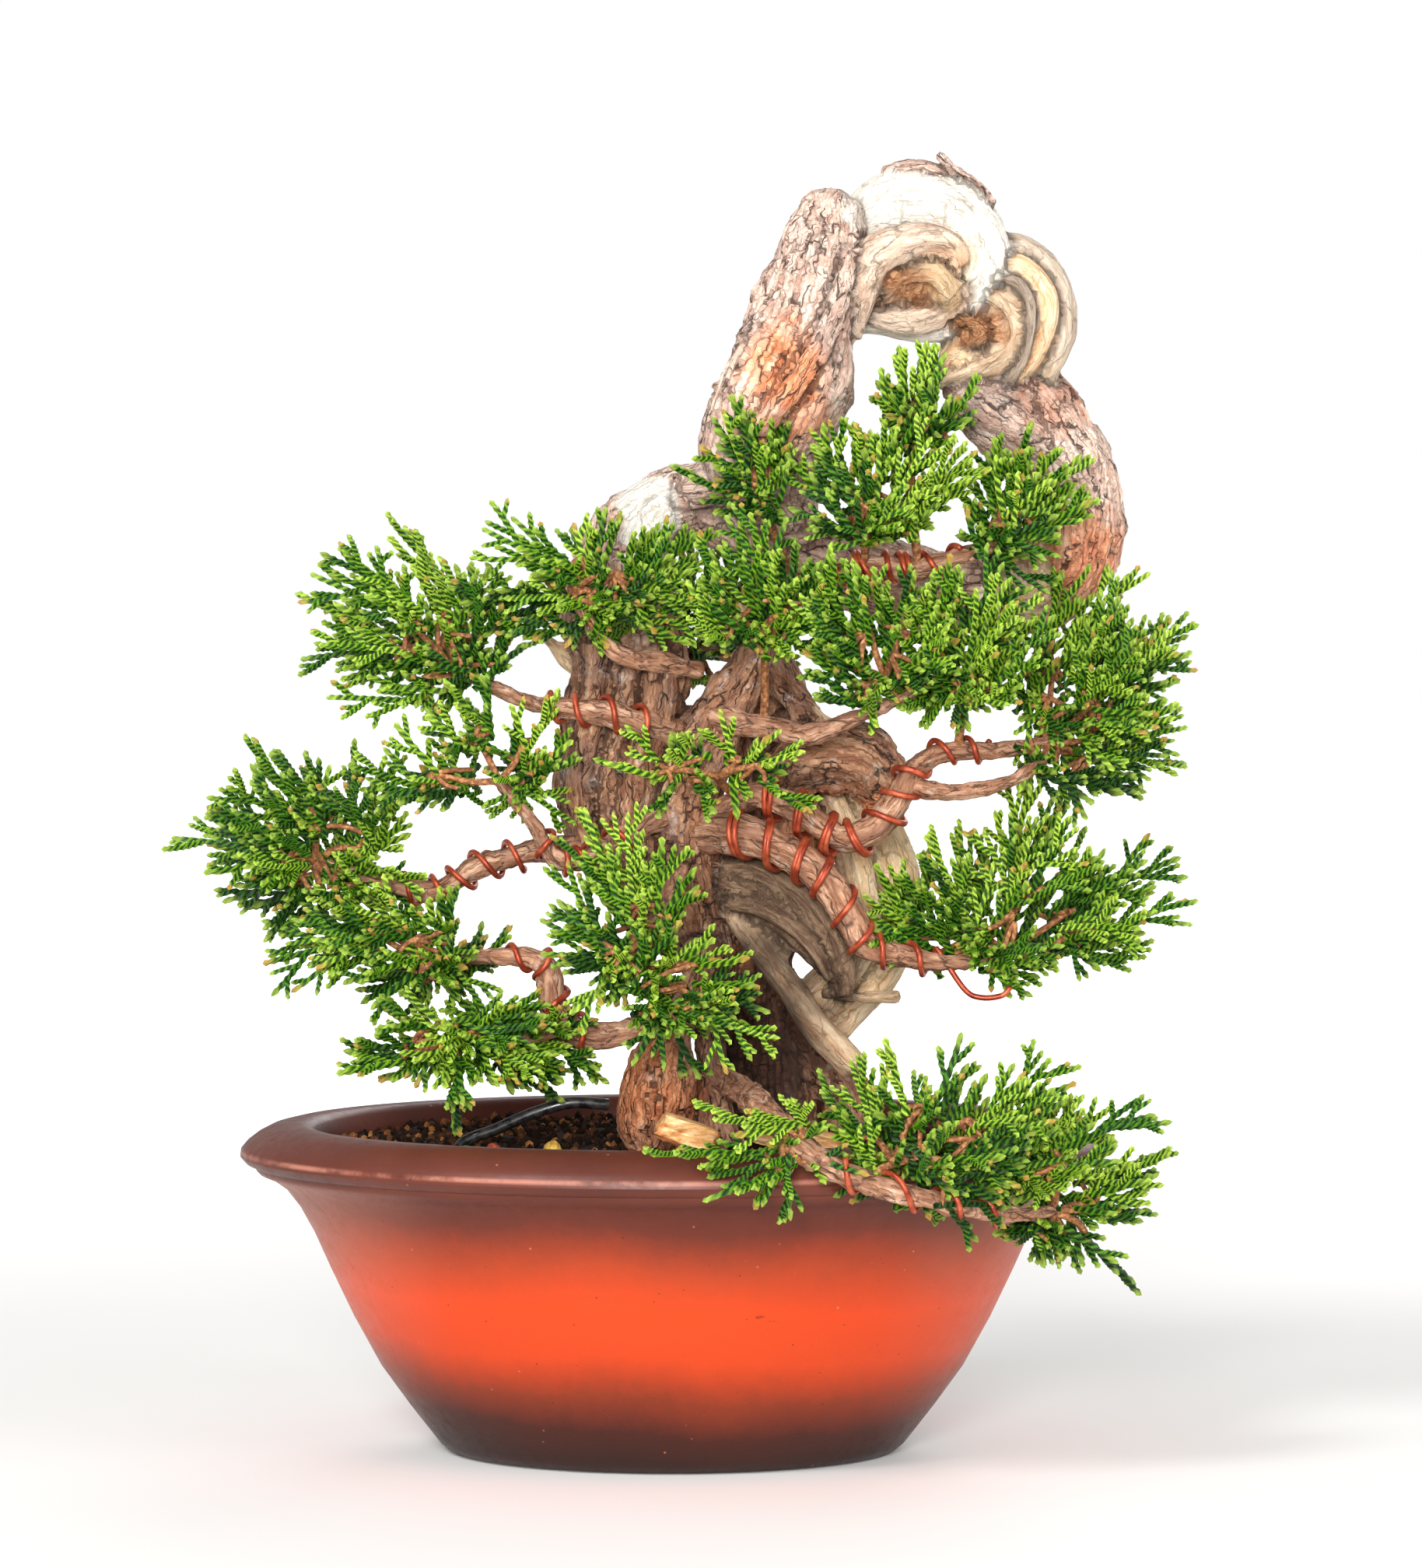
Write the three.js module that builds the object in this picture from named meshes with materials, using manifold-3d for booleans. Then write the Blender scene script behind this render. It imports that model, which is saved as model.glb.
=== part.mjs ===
// A juniper bonsai in an oval stoneware pot. Millimetres, +Z up, -Y is the front of the tree.
// The origin is the centre of the pot's flat underside.
import * as THREE from 'three';
import { mergeVertices } from 'three/addons/utils/BufferGeometryUtils.js';
import Module from 'manifold-3d';

const wasm = await Module();
wasm.setup();

// Driving dimensions
const GAP = 0.3; // clearance between pieces that touch
const LIMB_GAP = GAP * 1.2; // clearance round the facets of a limb
const COIL_GAP = GAP * 1.4; // clearance round the facets of a wire
const PAD_GAP = GAP * 1.5; // clearance round a pad and the anchor wire
const SLEEVE_GAP = GAP * 4; // clearance round a branch and the wire on it

const POT_LENGTH = 210;
const POT_WIDTH = 164;
const POT_HEIGHT = 80;
const POT_WALL = 6;
const POT_FLOOR = 8;
const POT_SIDES = 32;

const DRAIN_RADIUS = 7;
const DRAIN_SPACING = 56; // centre to centre
const SCREEN_MARGIN = 4; // how far a mesh screen laps past its drain hole
const SCREEN_THICKNESS = 1.2;

const SOIL_DROP = 4; // rim down to the soil at the trunk
const SOIL_SLOPE = 2; // how much lower the soil lies at the wall

const TREE_HEIGHT = 234; // soil to the top of the deadwood
const TREE_SPREAD = 240; // tip to tip of the lowest and widest pads
const TRUNK_GIRTH = 1; // thickness of trunk and branches, and their distance in front of it

const WIRE_RADIUS = 0.65;
const COIL_STEPS = 7; // stations in one turn of training wire
const BEND_ALLOWANCE = 0.9; // extra reach of a coil where its branch bends

const ANCHOR_RADIUS = 1.4;

// The routes below are drawn for this height and spread.
const DRAWN_HEIGHT = 234;
const DRAWN_SPREAD = 240;
const tall = TREE_HEIGHT / DRAWN_HEIGHT;
const wide = TREE_SPREAD / DRAWN_SPREAD;
const oval = POT_WIDTH / POT_LENGTH;
const soilTop = POT_HEIGHT - SOIL_DROP;

const ROUND_SIDES = 16; // of drain holes and screens
const BRANCH_SIDES = 6;
const BRANCH_STEPS = 2; // rings from one station of a branch to the next
const COIL_SIDES = 5;
const ANCHOR_SIDES = 6;
const ANCHOR_STEPS = 14;
const ROUTE_STEPS = 12; // places between stations where a coil can sit

// A station of a limb: its centre, from the soil at the middle of the pot, and its radius.
function at(x, y, z, radius = 0) {
  return { centre: new THREE.Vector3(x * wide, y * wide, soilTop + z * tall), radius: radius * TRUNK_GIRTH };
}

// A station of a branch, which keeps clear of the trunk in front or behind when the trunk is thicker.
function off(x, y, z, radius = 0) {
  return at(x, y * TRUNK_GIRTH, z, radius);
}

// A station of a limb that hangs over the rim: shares of the half length and half width, and a
// height from the rim.
function overRim(alongLength, alongWidth, z, radius = 0) {
  const x = alongLength * POT_LENGTH / 2;
  const y = alongWidth * POT_WIDTH / 2;
  return { centre: new THREE.Vector3(x, y, POT_HEIGHT + z), radius: radius * TRUNK_GIRTH };
}

// Solids

function toSolid(geometry) {
  const bare = geometry.clone();
  bare.deleteAttribute('normal');
  bare.deleteAttribute('uv');
  const merged = mergeVertices(bare, 1e-4);
  return new wasm.Manifold(new wasm.Mesh({
    numProp: 3,
    vertProperties: new Float32Array(merged.attributes.position.array),
    triVerts: new Uint32Array(merged.index.array),
  }));
}

function toGeometry(solid) {
  const mesh = solid.getMesh();
  const geometry = new THREE.BufferGeometry();
  geometry.setAttribute('position', new THREE.BufferAttribute(new Float32Array(mesh.vertProperties), 3));
  geometry.setIndex(new THREE.BufferAttribute(new Uint32Array(mesh.triVerts), 1));
  const faceted = geometry.toNonIndexed();
  faceted.computeVertexNormals();
  return faceted;
}

function union(solids) {
  return solids.reduce((whole, solid) => whole.add(solid));
}

// Cuts every cutter from the solid and keeps the largest body that is left.
function trim(solid, cutters) {
  const cut = cutters.reduce((rest, cutter) => rest.subtract(cutter), solid);
  const bodies = cut.decompose();
  return bodies.reduce((largest, body) => (body.volume() > largest.volume() ? body : largest));
}

function turned(profile, sides) {
  const points = profile.map(([radius, z]) => new THREE.Vector2(radius, z));
  const geometry = new THREE.LatheGeometry(points, sides);
  geometry.rotateX(Math.PI / 2);
  return geometry;
}

// Samples a route of stations into rings, `steps` to each stretch between stations.
function sampleRoute(route, steps) {
  const curve = new THREE.CatmullRomCurve3(route.map((station) => station.centre), false, 'centripetal');
  const count = (route.length - 1) * steps;
  const rings = [];
  let normal = null;
  for (let i = 0; i <= count; i += 1) {
    const share = i / count;
    const tangent = curve.getTangent(share).normalize();
    if (normal === null) {
      normal = Math.abs(tangent.y) < 0.9 ? new THREE.Vector3(0, 1, 0) : new THREE.Vector3(1, 0, 0);
    }
    normal = normal.clone().addScaledVector(tangent, -normal.dot(tangent)).normalize();
    const place = share * (route.length - 1);
    const from = Math.min(Math.floor(place), route.length - 2);
    const radius = THREE.MathUtils.lerp(route[from].radius, route[from + 1].radius, place - from);
    const binormal = new THREE.Vector3().crossVectors(tangent, normal);
    rings.push({ centre: curve.getPoint(share), normal, binormal, radius });
  }
  return rings;
}

// A closed tapering limb along a route; `grow` is added to its radius all along and at its ends.
function limb(route, { sides = 8, steps = 1, grow = 0 } = {}) {
  const rings = sampleRoute(route, steps);
  const positions = [];
  for (const ring of rings) {
    for (let side = 0; side < sides; side += 1) {
      const angle = side / sides * 2 * Math.PI;
      const point = ring.centre.clone()
        .addScaledVector(ring.normal, Math.cos(angle) * (ring.radius + grow))
        .addScaledVector(ring.binormal, Math.sin(angle) * (ring.radius + grow));
      positions.push(...point.toArray());
    }
  }
  const first = rings[0];
  const last = rings[rings.length - 1];
  const startAxis = new THREE.Vector3().crossVectors(first.normal, first.binormal);
  const endAxis = new THREE.Vector3().crossVectors(last.normal, last.binormal);
  positions.push(...first.centre.clone().addScaledVector(startAxis, -first.radius * 0.5 - grow).toArray());
  positions.push(...last.centre.clone().addScaledVector(endAxis, last.radius * 0.5 + grow).toArray());
  const startTip = rings.length * sides;
  const endTip = startTip + 1;
  const index = [];
  for (let side = 0; side < sides; side += 1) {
    const next = (side + 1) % sides;
    index.push(startTip, next, side);
    for (let ring = 0; ring < rings.length - 1; ring += 1) {
      const here = ring * sides;
      const there = here + sides;
      index.push(here + side, here + next, there + next);
      index.push(here + side, there + next, there + side);
    }
    const end = (rings.length - 1) * sides;
    index.push(endTip, end + side, end + next);
  }
  const geometry = new THREE.BufferGeometry();
  geometry.setAttribute('position', new THREE.Float32BufferAttribute(positions, 3));
  geometry.setIndex(index);
  return toSolid(geometry);
}

// A round wire along a list of points.
function wireAlong(points, radius, sides, steps) {
  const outline = new THREE.Shape();
  for (let side = 0; side < sides; side += 1) {
    const angle = side / sides * 2 * Math.PI;
    if (side === 0) {
      outline.moveTo(radius, 0);
    } else {
      outline.lineTo(Math.cos(angle) * radius, Math.sin(angle) * radius);
    }
  }
  const path = new THREE.CatmullRomCurve3(points, false, 'centripetal');
  return toSolid(new THREE.ExtrudeGeometry(outline, { steps, extrudePath: path, bevelEnabled: false }));
}

// Points of training wire coiled round a branch, from one share of its route to another.
function coilPoints(route, { from, to, turns, phase }) {
  const rings = sampleRoute(route, ROUTE_STEPS);
  const count = Math.round(turns * COIL_STEPS);
  const points = [];
  for (let i = 0; i <= count; i += 1) {
    const share = THREE.MathUtils.lerp(from, to, i / count);
    const ring = rings[Math.round(share * (rings.length - 1))];
    const reach = (ring.radius + WIRE_RADIUS + GAP) / Math.cos(Math.PI / COIL_STEPS) + BEND_ALLOWANCE;
    const angle = phase + i / COIL_STEPS * 2 * Math.PI;
    points.push(ring.centre.clone()
      .addScaledVector(ring.normal, Math.cos(angle) * reach)
      .addScaledVector(ring.binormal, Math.sin(angle) * reach));
  }
  return points;
}

function lump(station, [reachX, reachY, reachZ], grow = 0, detail = 1) {
  const geometry = new THREE.IcosahedronGeometry(1, detail);
  geometry.scale(reachX + grow, reachY + grow, reachZ + grow);
  geometry.translate(station.centre.x, station.centre.y, station.centre.z);
  return toSolid(geometry);
}

// Pot

// The outside of the pot: shares of its half length and of its height, from foot to rim.
const POT_OUTLINE = [
  [0.514, 0], [0.552, 0.048], [0.676, 0.266], [0.79, 0.558], [0.835, 0.69], [0.88, 0.786],
  [0.957, 0.855], [1, 0.9], [0.972, 0.957], [0.92, 0.997], [0.86, 1],
];
const BELLY_POINTS = 6;
const MOUTH_SHARE = 0.829;

function bellyRadius(z) {
  const share = z / POT_HEIGHT;
  for (let i = 1; i < BELLY_POINTS; i += 1) {
    const [radiusBelow, below] = POT_OUTLINE[i - 1];
    const [radiusAbove, above] = POT_OUTLINE[i];
    if (share <= above) {
      return THREE.MathUtils.mapLinear(share, below, above, radiusBelow, radiusAbove) * POT_LENGTH / 2;
    }
  }
  return POT_OUTLINE[BELLY_POINTS - 1][0] * POT_LENGTH / 2;
}

function innerRadius(z) {
  return Math.min(bellyRadius(z) - POT_WALL, MOUTH_SHARE * POT_LENGTH / 2);
}

function potOutside(grow) {
  const outline = POT_OUTLINE.map(([radius, z]) => [radius * POT_LENGTH / 2 + grow, z * POT_HEIGHT]);
  outline[outline.length - 1][1] += grow;
  return outline;
}

// Where the inside of the wall has a ring, in shares of the height, from the rim down
const INNER_RINGS = [0.99, 0.75, 0.5, 0.28];
const innerHeights = INNER_RINGS.map((share) => share * POT_HEIGHT);

function makePot() {
  const inside = innerHeights.map((z) => [innerRadius(z), z]);
  const floorEdge = [innerRadius(POT_FLOOR) - POT_FLOOR / 2, POT_FLOOR];
  const profile = [[0, 0], ...potOutside(0), ...inside, floorEdge, [0, POT_FLOOR]];
  const bowl = toSolid(turned(profile, POT_SIDES).scale(1, oval, 1));
  const holes = [-1, 1].map((side) => {
    const hole = new THREE.CylinderGeometry(DRAIN_RADIUS, DRAIN_RADIUS, POT_FLOOR * 3, ROUND_SIDES);
    hole.rotateX(Math.PI / 2);
    hole.translate(side * DRAIN_SPACING / 2, 0, POT_FLOOR / 2);
    return toSolid(hole);
  });
  return trim(bowl, holes);
}

function makeDrainScreen(side) {
  const radius = DRAIN_RADIUS + SCREEN_MARGIN;
  const disc = new THREE.CylinderGeometry(radius, radius, SCREEN_THICKNESS, ROUND_SIDES);
  disc.rotateX(Math.PI / 2);
  disc.translate(side * DRAIN_SPACING / 2, 0, POT_FLOOR + GAP + SCREEN_THICKNESS / 2);
  return toSolid(disc);
}

// The pot with its mouth closed, grown by the clearance: what limbs over the rim stay out of.
const blockProfile = [[0, -GAP], ...potOutside(GAP), [0, POT_HEIGHT + GAP]];
const potBlock = toSolid(turned(blockProfile, POT_SIDES).scale(1, oval, 1));
const rimBlock = potBlock.subtract(toSolid(turned([
  [0, POT_HEIGHT / 2], [innerRadius(POT_HEIGHT) - GAP, POT_HEIGHT / 2],
  [innerRadius(POT_HEIGHT) - GAP, POT_HEIGHT * 2], [0, POT_HEIGHT * 2],
], POT_SIDES).scale(1, oval, 1)));

// Trunk: every part of it grew as one piece of wood

const TRUNK_ROUTES = [
  { // root flare, lower trunk, left column and the arch at its top
    route: [
      at(22, 5, -6, 15), at(22, 8, 13, 13.5), at(22, 12, 28, 11.4), at(16, 14, 43, 11.8),
      at(4, 12, 56, 12.5),
      at(-8, 6, 70, 12.9), at(-15, 0, 85, 12.8), at(-13, -2, 100, 13.5), at(-10, 0, 114, 14),
      at(-13, 6, 129, 12.5),
      at(-11, 12, 143, 11), at(-3, 16, 153, 9.5), at(9, 18, 154, 8.6), at(27, 20, 144, 8.6),
      at(45, 18, 138, 9.2),
      at(65, 16, 132, 9.5), at(86, 14, 131, 10),
    ],
    sides: 10,
  },
  { // right column and the outside of the spiral
    route: [
      at(78, 14, 131, 9.5), at(91, 12, 134, 10.5), at(97, 8, 144, 11.4), at(97, 5, 157, 11.5),
      at(91, 4, 170, 10.5),
      at(84, 5, 182, 9.5), at(84, 8, 193, 9), at(82, 6, 204, 8), at(74, 2, 211, 8),
    ],
    sides: 10,
  },
  { // inside of the spiral
    route: [at(94, 3, 166, 8), at(80, -2, 175, 8), at(70, -2, 182, 7), at(62, -4, 192, 5)],
    sides: 8,
  },
  { // upper left limb, with its knob of bark at the top
    route: [
      at(40, -12, 226, 6.4), at(37.5, -12, 219, 9.4), at(35, -12, 208, 11.4), at(31, -12, 195, 13.2),
      at(25.5, -12, 182, 15.2), at(22, -8, 171, 14), at(22, 2, 161, 11), at(28, 12, 152, 8),
    ],
    sides: 10,
  },
  { // white disc of deadwood that closes the crown
    route: [
      at(42, -3, 214, 6), at(46, -3, 222, 7), at(54, -3, 226, 8), at(64, -3, 226, 8), at(72, -2, 220.5, 9),
      at(74.5, -1, 211, 9), at(70, -2, 202.5, 8.6), at(61, -4, 199, 6.4), at(50, -4, 198.5, 4.8),
      at(42, -5, 199, 5),
    ],
    sides: 10,
  },
  { // wood that fills the disc
    route: [at(50, 2, 212, 9), at(60, 3, 212, 10), at(70, 4, 209, 9)],
    sides: 8,
  },
  { // curl of bark in front of the disc
    route: [
      at(43, -13, 194, 3.4), at(44, -14, 203, 5.4), at(47.5, -15, 211.5, 6), at(54, -17, 216, 5.4),
      at(61, -17.5, 217.6, 4.8), at(66.5, -16.5, 216, 4.2), at(68.6, -14, 212, 3.2),
    ],
    sides: 8,
  },
  { // crumbled wood inside the curl
    route: [at(50, -11, 205, 5), at(56, -12.5, 208, 6), at(62, -13, 209, 6), at(66, -11, 204, 5.4)],
    sides: 8,
  },
  { // outer layer of the spiral
    route: [
      at(79, 1, 217.5, 4), at(85, 0, 216, 4), at(90.6, -1, 211.5, 4), at(94.2, -1, 204, 4),
      at(94.6, -1, 195, 4),
      at(91, -1, 187, 4),
    ],
    sides: 7,
  },
  { // second layer of the spiral
    route: [
      at(79, -3, 212.6, 3.6), at(85, -4, 210.8, 3.8), at(89.4, -5, 204.6, 3.9), at(89.6, -5, 196.5, 3.9),
      at(86.4, -4, 189, 3.8),
    ],
    sides: 7,
  },
  { // inner layer of the spiral
    route: [
      at(72, -4, 203.6, 4.4), at(77.6, -6, 202, 4.6), at(81, -6, 196.4, 4.6), at(78, -6, 190.6, 4.6),
      at(72, -5, 188, 4.4), at(66, -4, 187, 3.4),
    ],
    sides: 7,
  },
  { // shard of bark at the very top
    route: [at(76, -4, 225, 3), at(70, -5, 230, 2.2), at(65, -6, 233.4, 1.2)],
    sides: 6,
  },
  { // cream deadwood of the old trunk
    route: [
      at(25, 12, 20, 9.5), at(38, 13, 32, 9.5), at(49, 14, 46, 11), at(51, 14, 61, 10.5),
      at(47, 14, 75, 9.5),
      at(40, 14, 89, 9.5), at(29, 14, 103, 8), at(19, 12, 119, 6.8), at(10, 14, 133, 6),
    ],
    sides: 10,
  },
  { // old wood that joins the columns at the back
    route: [at(14, 10, 26, 10), at(22, 12, 50, 11), at(27, 12, 76, 11), at(20, 12, 100, 9)],
    sides: 8,
  },
  { // live limb twisting up the middle
    route: [
      at(10, 8, 44, 9), at(6, -1, 61, 9), at(3, -6, 76, 9), at(5, -8, 89, 8.4), at(11, -8, 101, 7.1),
      at(17, -8, 111, 5.6), at(22, -6, 121, 4.5),
    ],
    sides: 8,
  },
  { // mauve limb at the right of the middle
    route: [at(24, 4, 84, 6), at(34, -1, 92, 8.4), at(45, -3, 92, 8.6), at(53, 0, 84, 6.4)],
    sides: 8,
  },
  { // root at the front, with its bulb
    route: [
      at(8, 0, 48, 5), at(6, -12, 38, 4), at(2, -19, 27, 4.6), at(-2.4, -24, 18, 8.4), at(-4, -26, 9, 9),
      at(-4, -26, 0, 5),
    ],
    sides: 8,
  },
  { // second root at the front
    route: [at(10, 0, 40, 5.6), at(9, -16, 26, 4.4), at(10, -20, 12, 5), at(11, -20, -3, 6.5)],
    sides: 8,
  },
  { // gnarled dead mass at the front
    route: [
      at(10, 3, 61, 6), at(22, -9, 59, 7.4), at(33, -14, 52, 8.2), at(40, -14, 43, 5.6),
      at(42, -12, 36, 3),
    ],
    sides: 8,
  },
  { // long dead stick
    route: [at(15, -6, 55, 3.8), at(26, -17, 41, 4.2), at(34, -22, 30, 4.2), at(44, -25, 20, 3.9)],
    sides: 7,
  },
  { // short cut stub
    route: [at(36, -12, 38, 2.6), at(44, -13, 36, 2.3), at(54, -14, 36, 2.2)],
    sides: 6,
  },
  { // cream spur left of the column
    route: [at(-16, 4, 112, 5), at(-25, 4, 116, 3.5), at(-34, 3, 123, 1.6)],
    sides: 6,
  },
  { // root going down at the right
    route: [at(30, 10, 26, 7), at(40, 6, 12, 6), at(48, 2, -2, 5.5)],
    sides: 7,
  },
  { // root going down at the back
    route: [at(16, 18, 22, 7), at(8, 30, 8, 6), at(4, 36, -4, 5)],
    sides: 7,
  },
];

// The trunk's limbs fused, each grown by a clearance. Only the outer skin is kept, so the wood is
// solid all through.
function fuseTrunk(grow) {
  return trim(union(TRUNK_ROUTES.map(({ route, sides }) => limb(route, { sides, grow }))), []);
}

const trunk = fuseTrunk(0);
const trunkBlock = fuseTrunk(LIMB_GAP);

// Branches

const BRANCHES = {
  branch_right_upper: [
    off(9, -10, 78, 4.5), off(21, -17, 84, 4.1), off(31, -21, 80, 4.1), off(40, -23, 74, 3.9),
    off(48, -23, 76, 3.9),
    off(54, -22, 83, 3.6), off(58, -22, 91, 3), off(66, -22, 95, 2.4), off(77, -20, 95, 1.9),
    off(90, -18, 97, 1.5),
  ],
  branch_right_fork: [
    off(57, -21, 86, 2.6), off(64, -23, 85, 2.4), off(72, -25, 85.5, 2.1), off(81, -25, 88, 1.7),
    off(89, -23, 93, 1.4),
  ],
  branch_right_lower: [
    off(5, -10, 75, 4.8), off(17, -20, 75, 4.7), off(27, -24, 71, 4.4), off(36, -27, 65, 4),
    off(42, -27, 56, 3.7),
    off(46, -25, 49, 3.2), off(55, -23, 46, 2.9), off(66, -21, 44, 2.3), off(80, -18, 46, 1.6),
  ],
  branch_left_upper: [
    off(2, -10, 98, 3.3), off(-6, -18, 101, 3.3), off(-15, -20, 104, 3.1), off(-25, -19, 105, 2.8),
    off(-35, -17, 107, 2.2),
    off(-52, -14, 114, 1.6),
  ],
  branch_left_middle: [
    off(0, -12, 80, 3), off(-12, -20, 74, 2.8), off(-21, -24, 69, 2.6), off(-28, -27, 70, 2.5),
    off(-33, -28, 78, 2.2),
    off(-41, -28, 88, 1.5),
  ],
  branch_left_far: [
    off(-20, -6, 72, 3.3), off(-34, -13, 70, 3.2), off(-46, -14, 67, 3.1), off(-57, -14, 61, 2.9),
    off(-68, -14, 63, 2.2),
    off(-86, -12, 68, 1.6),
  ],
  branch_left_lower: [
    off(4, -12, 32, 4), off(-10, -22, 28, 3.7), off(-21, -26, 27, 3.7), off(-28, -28, 34, 3.6),
    off(-30, -27, 44, 2.8),
    off(-40, -25, 46, 2), off(-58, -24, 45, 1.5),
  ],
  branch_left_base: [
    off(-26, -29, 30, 2.6), off(-37, -32, 27, 2), off(-50, -34, 27, 1.4),
  ],
  branch_over_rim: [
    off(12, -20, 16, 3.7), off(18, -40, 14, 3.6), overRim(0.22, -0.84, 7.5, 3.3),
    overRim(0.32, -1.06, 0, 3),
    overRim(0.45, -1.08, -6, 2.8), overRim(0.6, -1, -11, 2.5), overRim(0.75, -0.86, -15, 2),
    overRim(0.85, -0.76, -15, 1.5),
  ],
  branch_top: [
    off(19, -6, 118, 4.1), off(28, -12, 130, 3.7), off(36, -17, 137, 3.3), off(48, -21, 139, 2.9),
    off(60, -23, 139, 2.6),
    off(76, -23, 144, 1.8),
  ],
  branch_middle: [
    off(10, -12, 102, 3.2), off(22, -19, 101, 3), off(33, -25, 99, 2.8), off(46, -31, 104, 2.1),
    off(58, -34, 110, 1.6),
  ],
  branch_upper_left: [
    off(6, -10, 114, 2.8), off(-3, -18, 116, 2.6), off(-12, -23, 118, 2.4), off(-18, -25, 123, 2),
    off(-24, -24, 134, 1.5),
  ],
  branch_front: [
    off(2, -14, 66, 3), off(-3, -33, 56, 2.7), off(-8, -46, 46, 2.3), off(-10, -55, 48, 1.5),
  ],
  branch_back: [
    at(24, 22, 100, 4), off(28, 34, 108, 3.4), off(20, 44, 116, 2.6), off(6, 48, 118, 1.8),
  ],
};

// Training wire: which branch it holds, the stretch, the turns, where it starts round the branch,
// and any free tail past the last turn.
const WIRES = {
  wire_right_upper: { on: 'branch_right_upper', from: 0.16, to: 0.86, turns: 9, phase: 0 },
  wire_right_lower: {
    on: 'branch_right_lower',
    from: 0.14,
    to: 0.82,
    turns: 8,
    phase: 1,
    tail: [off(70, -23, 38), off(74, -24, 36), off(79, -24, 36.5), off(81, -24, 38.5)],
  },
  wire_left_upper: { on: 'branch_left_upper', from: 0.2, to: 0.62, turns: 3.5, phase: 2 },
  wire_left_middle: { on: 'branch_left_middle', from: 0.25, to: 0.72, turns: 5, phase: 0 },
  wire_left_far: { on: 'branch_left_far', from: 0.25, to: 0.72, turns: 5, phase: 1 },
  wire_left_lower: { on: 'branch_left_lower', from: 0.35, to: 0.8, turns: 4, phase: 0 },
  wire_top: { on: 'branch_top', from: 0.45, to: 0.9, turns: 4, phase: 2 },
  wire_over_rim: { on: 'branch_over_rim', from: 0.55, to: 0.92, turns: 4, phase: 0 },
};

function pad(x, y, z, [reachX, reachY, reachZ]) {
  return [off(x, y, z), [reachX * wide, reachY * wide, reachZ * tall]];
}

// A pad over the rim: its reach along and across is in shares of the half length and half width.
function rimPad(alongLength, alongWidth, z, [shareX, shareY, reachZ]) {
  return [overRim(alongLength, alongWidth, z), [shareX * POT_LENGTH / 2, shareY * POT_WIDTH / 2, reachZ]];
}

// Pads of foliage: centre and half sizes
const PADS = {
  foliage_top: pad(59, -24, 181, [13, 12, 13]),
  foliage_top_left: pad(18, -31, 166, [14, 13, 15]),
  foliage_top_middle: pad(48, -34, 160, [20, 14, 16]),
  foliage_top_right: pad(84, -26, 156, [17, 14, 18]),
  foliage_upper_left: pad(-19, -26, 136, [27, 17, 16]),
  foliage_centre_left: pad(22, -41, 133, [20, 15, 16]),
  foliage_centre: pad(46, -44, 124, [20, 17, 19]),
  foliage_centre_right: pad(69, -40, 120, [18, 18, 20]),
  foliage_right: pad(103, -20, 108, [23, 24, 27]),
  foliage_left_upper: pad(-59, -14, 124, [33, 23, 20]),
  foliage_left_middle: pad(-46, -28, 94, [24, 15, 20]),
  foliage_left_far: pad(-90, -12, 74, [24, 24, 22]),
  foliage_left_lower: pad(-66, -24, 47, [27, 22, 16]),
  foliage_left_base: pad(-50, -38, 26, [29, 20, 12]),
  foliage_front_middle: pad(9, -44, 92, [25, 11, 16]),
  foliage_front_lower: pad(-11, -57, 58, [19, 13, 18]),
  foliage_front_base: pad(1, -56, 38, [25, 15, 14]),
  foliage_right_lower: pad(87, -16, 60, [32, 24, 21]),
  foliage_rim_front: rimPad(0.2, -1.1, 1, [0.25, 0.14, 17]),
  foliage_rim_middle: rimPad(0.56, -0.9, 8, [0.29, 0.24, 20]),
  foliage_rim_right: rimPad(0.89, -0.7, -9, [0.21, 0.25, 20]),
  foliage_back: pad(8, 48, 128, [30, 18, 22]),
};

const branchNames = Object.keys(BRANCHES);

function makeLimbOf(name, grow) {
  return limb(BRANCHES[name], { sides: BRANCH_SIDES, steps: BRANCH_STEPS, grow });
}

// The space that a branch takes with the wire round it
const sleeves = branchNames.map((name) => {
  const wired = Object.values(WIRES).some((wire) => wire.on === name);
  return makeLimbOf(name, wired ? WIRE_RADIUS * 2 + BEND_ALLOWANCE + SLEEVE_GAP : LIMB_GAP);
});

const wires = {};
const wireBlocks = [];
for (const [name, { on, from, to, turns, phase, tail = [] }] of Object.entries(WIRES)) {
  const coil = coilPoints(BRANCHES[on], { from, to, turns, phase });
  const points = [...coil, ...tail.map((station) => station.centre)];
  const wire = wireAlong(points, WIRE_RADIUS, COIL_SIDES, points.length - 1);
  wires[name] = trim(wire, [trunkBlock, rimBlock, ...wireBlocks]);
  wireBlocks.push(wireAlong(points, WIRE_RADIUS + COIL_GAP, COIL_SIDES, points.length - 1));
}

// Bark gives way under the wire, and a later branch stays out of an earlier one.
function makeBranch(name) {
  const cutters = [trunkBlock, rimBlock, ...sleeves.slice(0, branchNames.indexOf(name)), ...wireBlocks];
  return trim(makeLimbOf(name, 0), cutters);
}

// Soil and what lies on it

function soilRadius(z) {
  return innerRadius(z) - GAP * 2;
}

function soilHeight(x, y) {
  const share = Math.hypot(x, y / oval) / soilRadius(soilTop);
  return soilTop - SOIL_SLOPE * share ** 2;
}

// Rings of the soil's mound, in shares of its radius, from the wall in
const MOUND_RINGS = [1, 0.66, 0.33];

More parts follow.
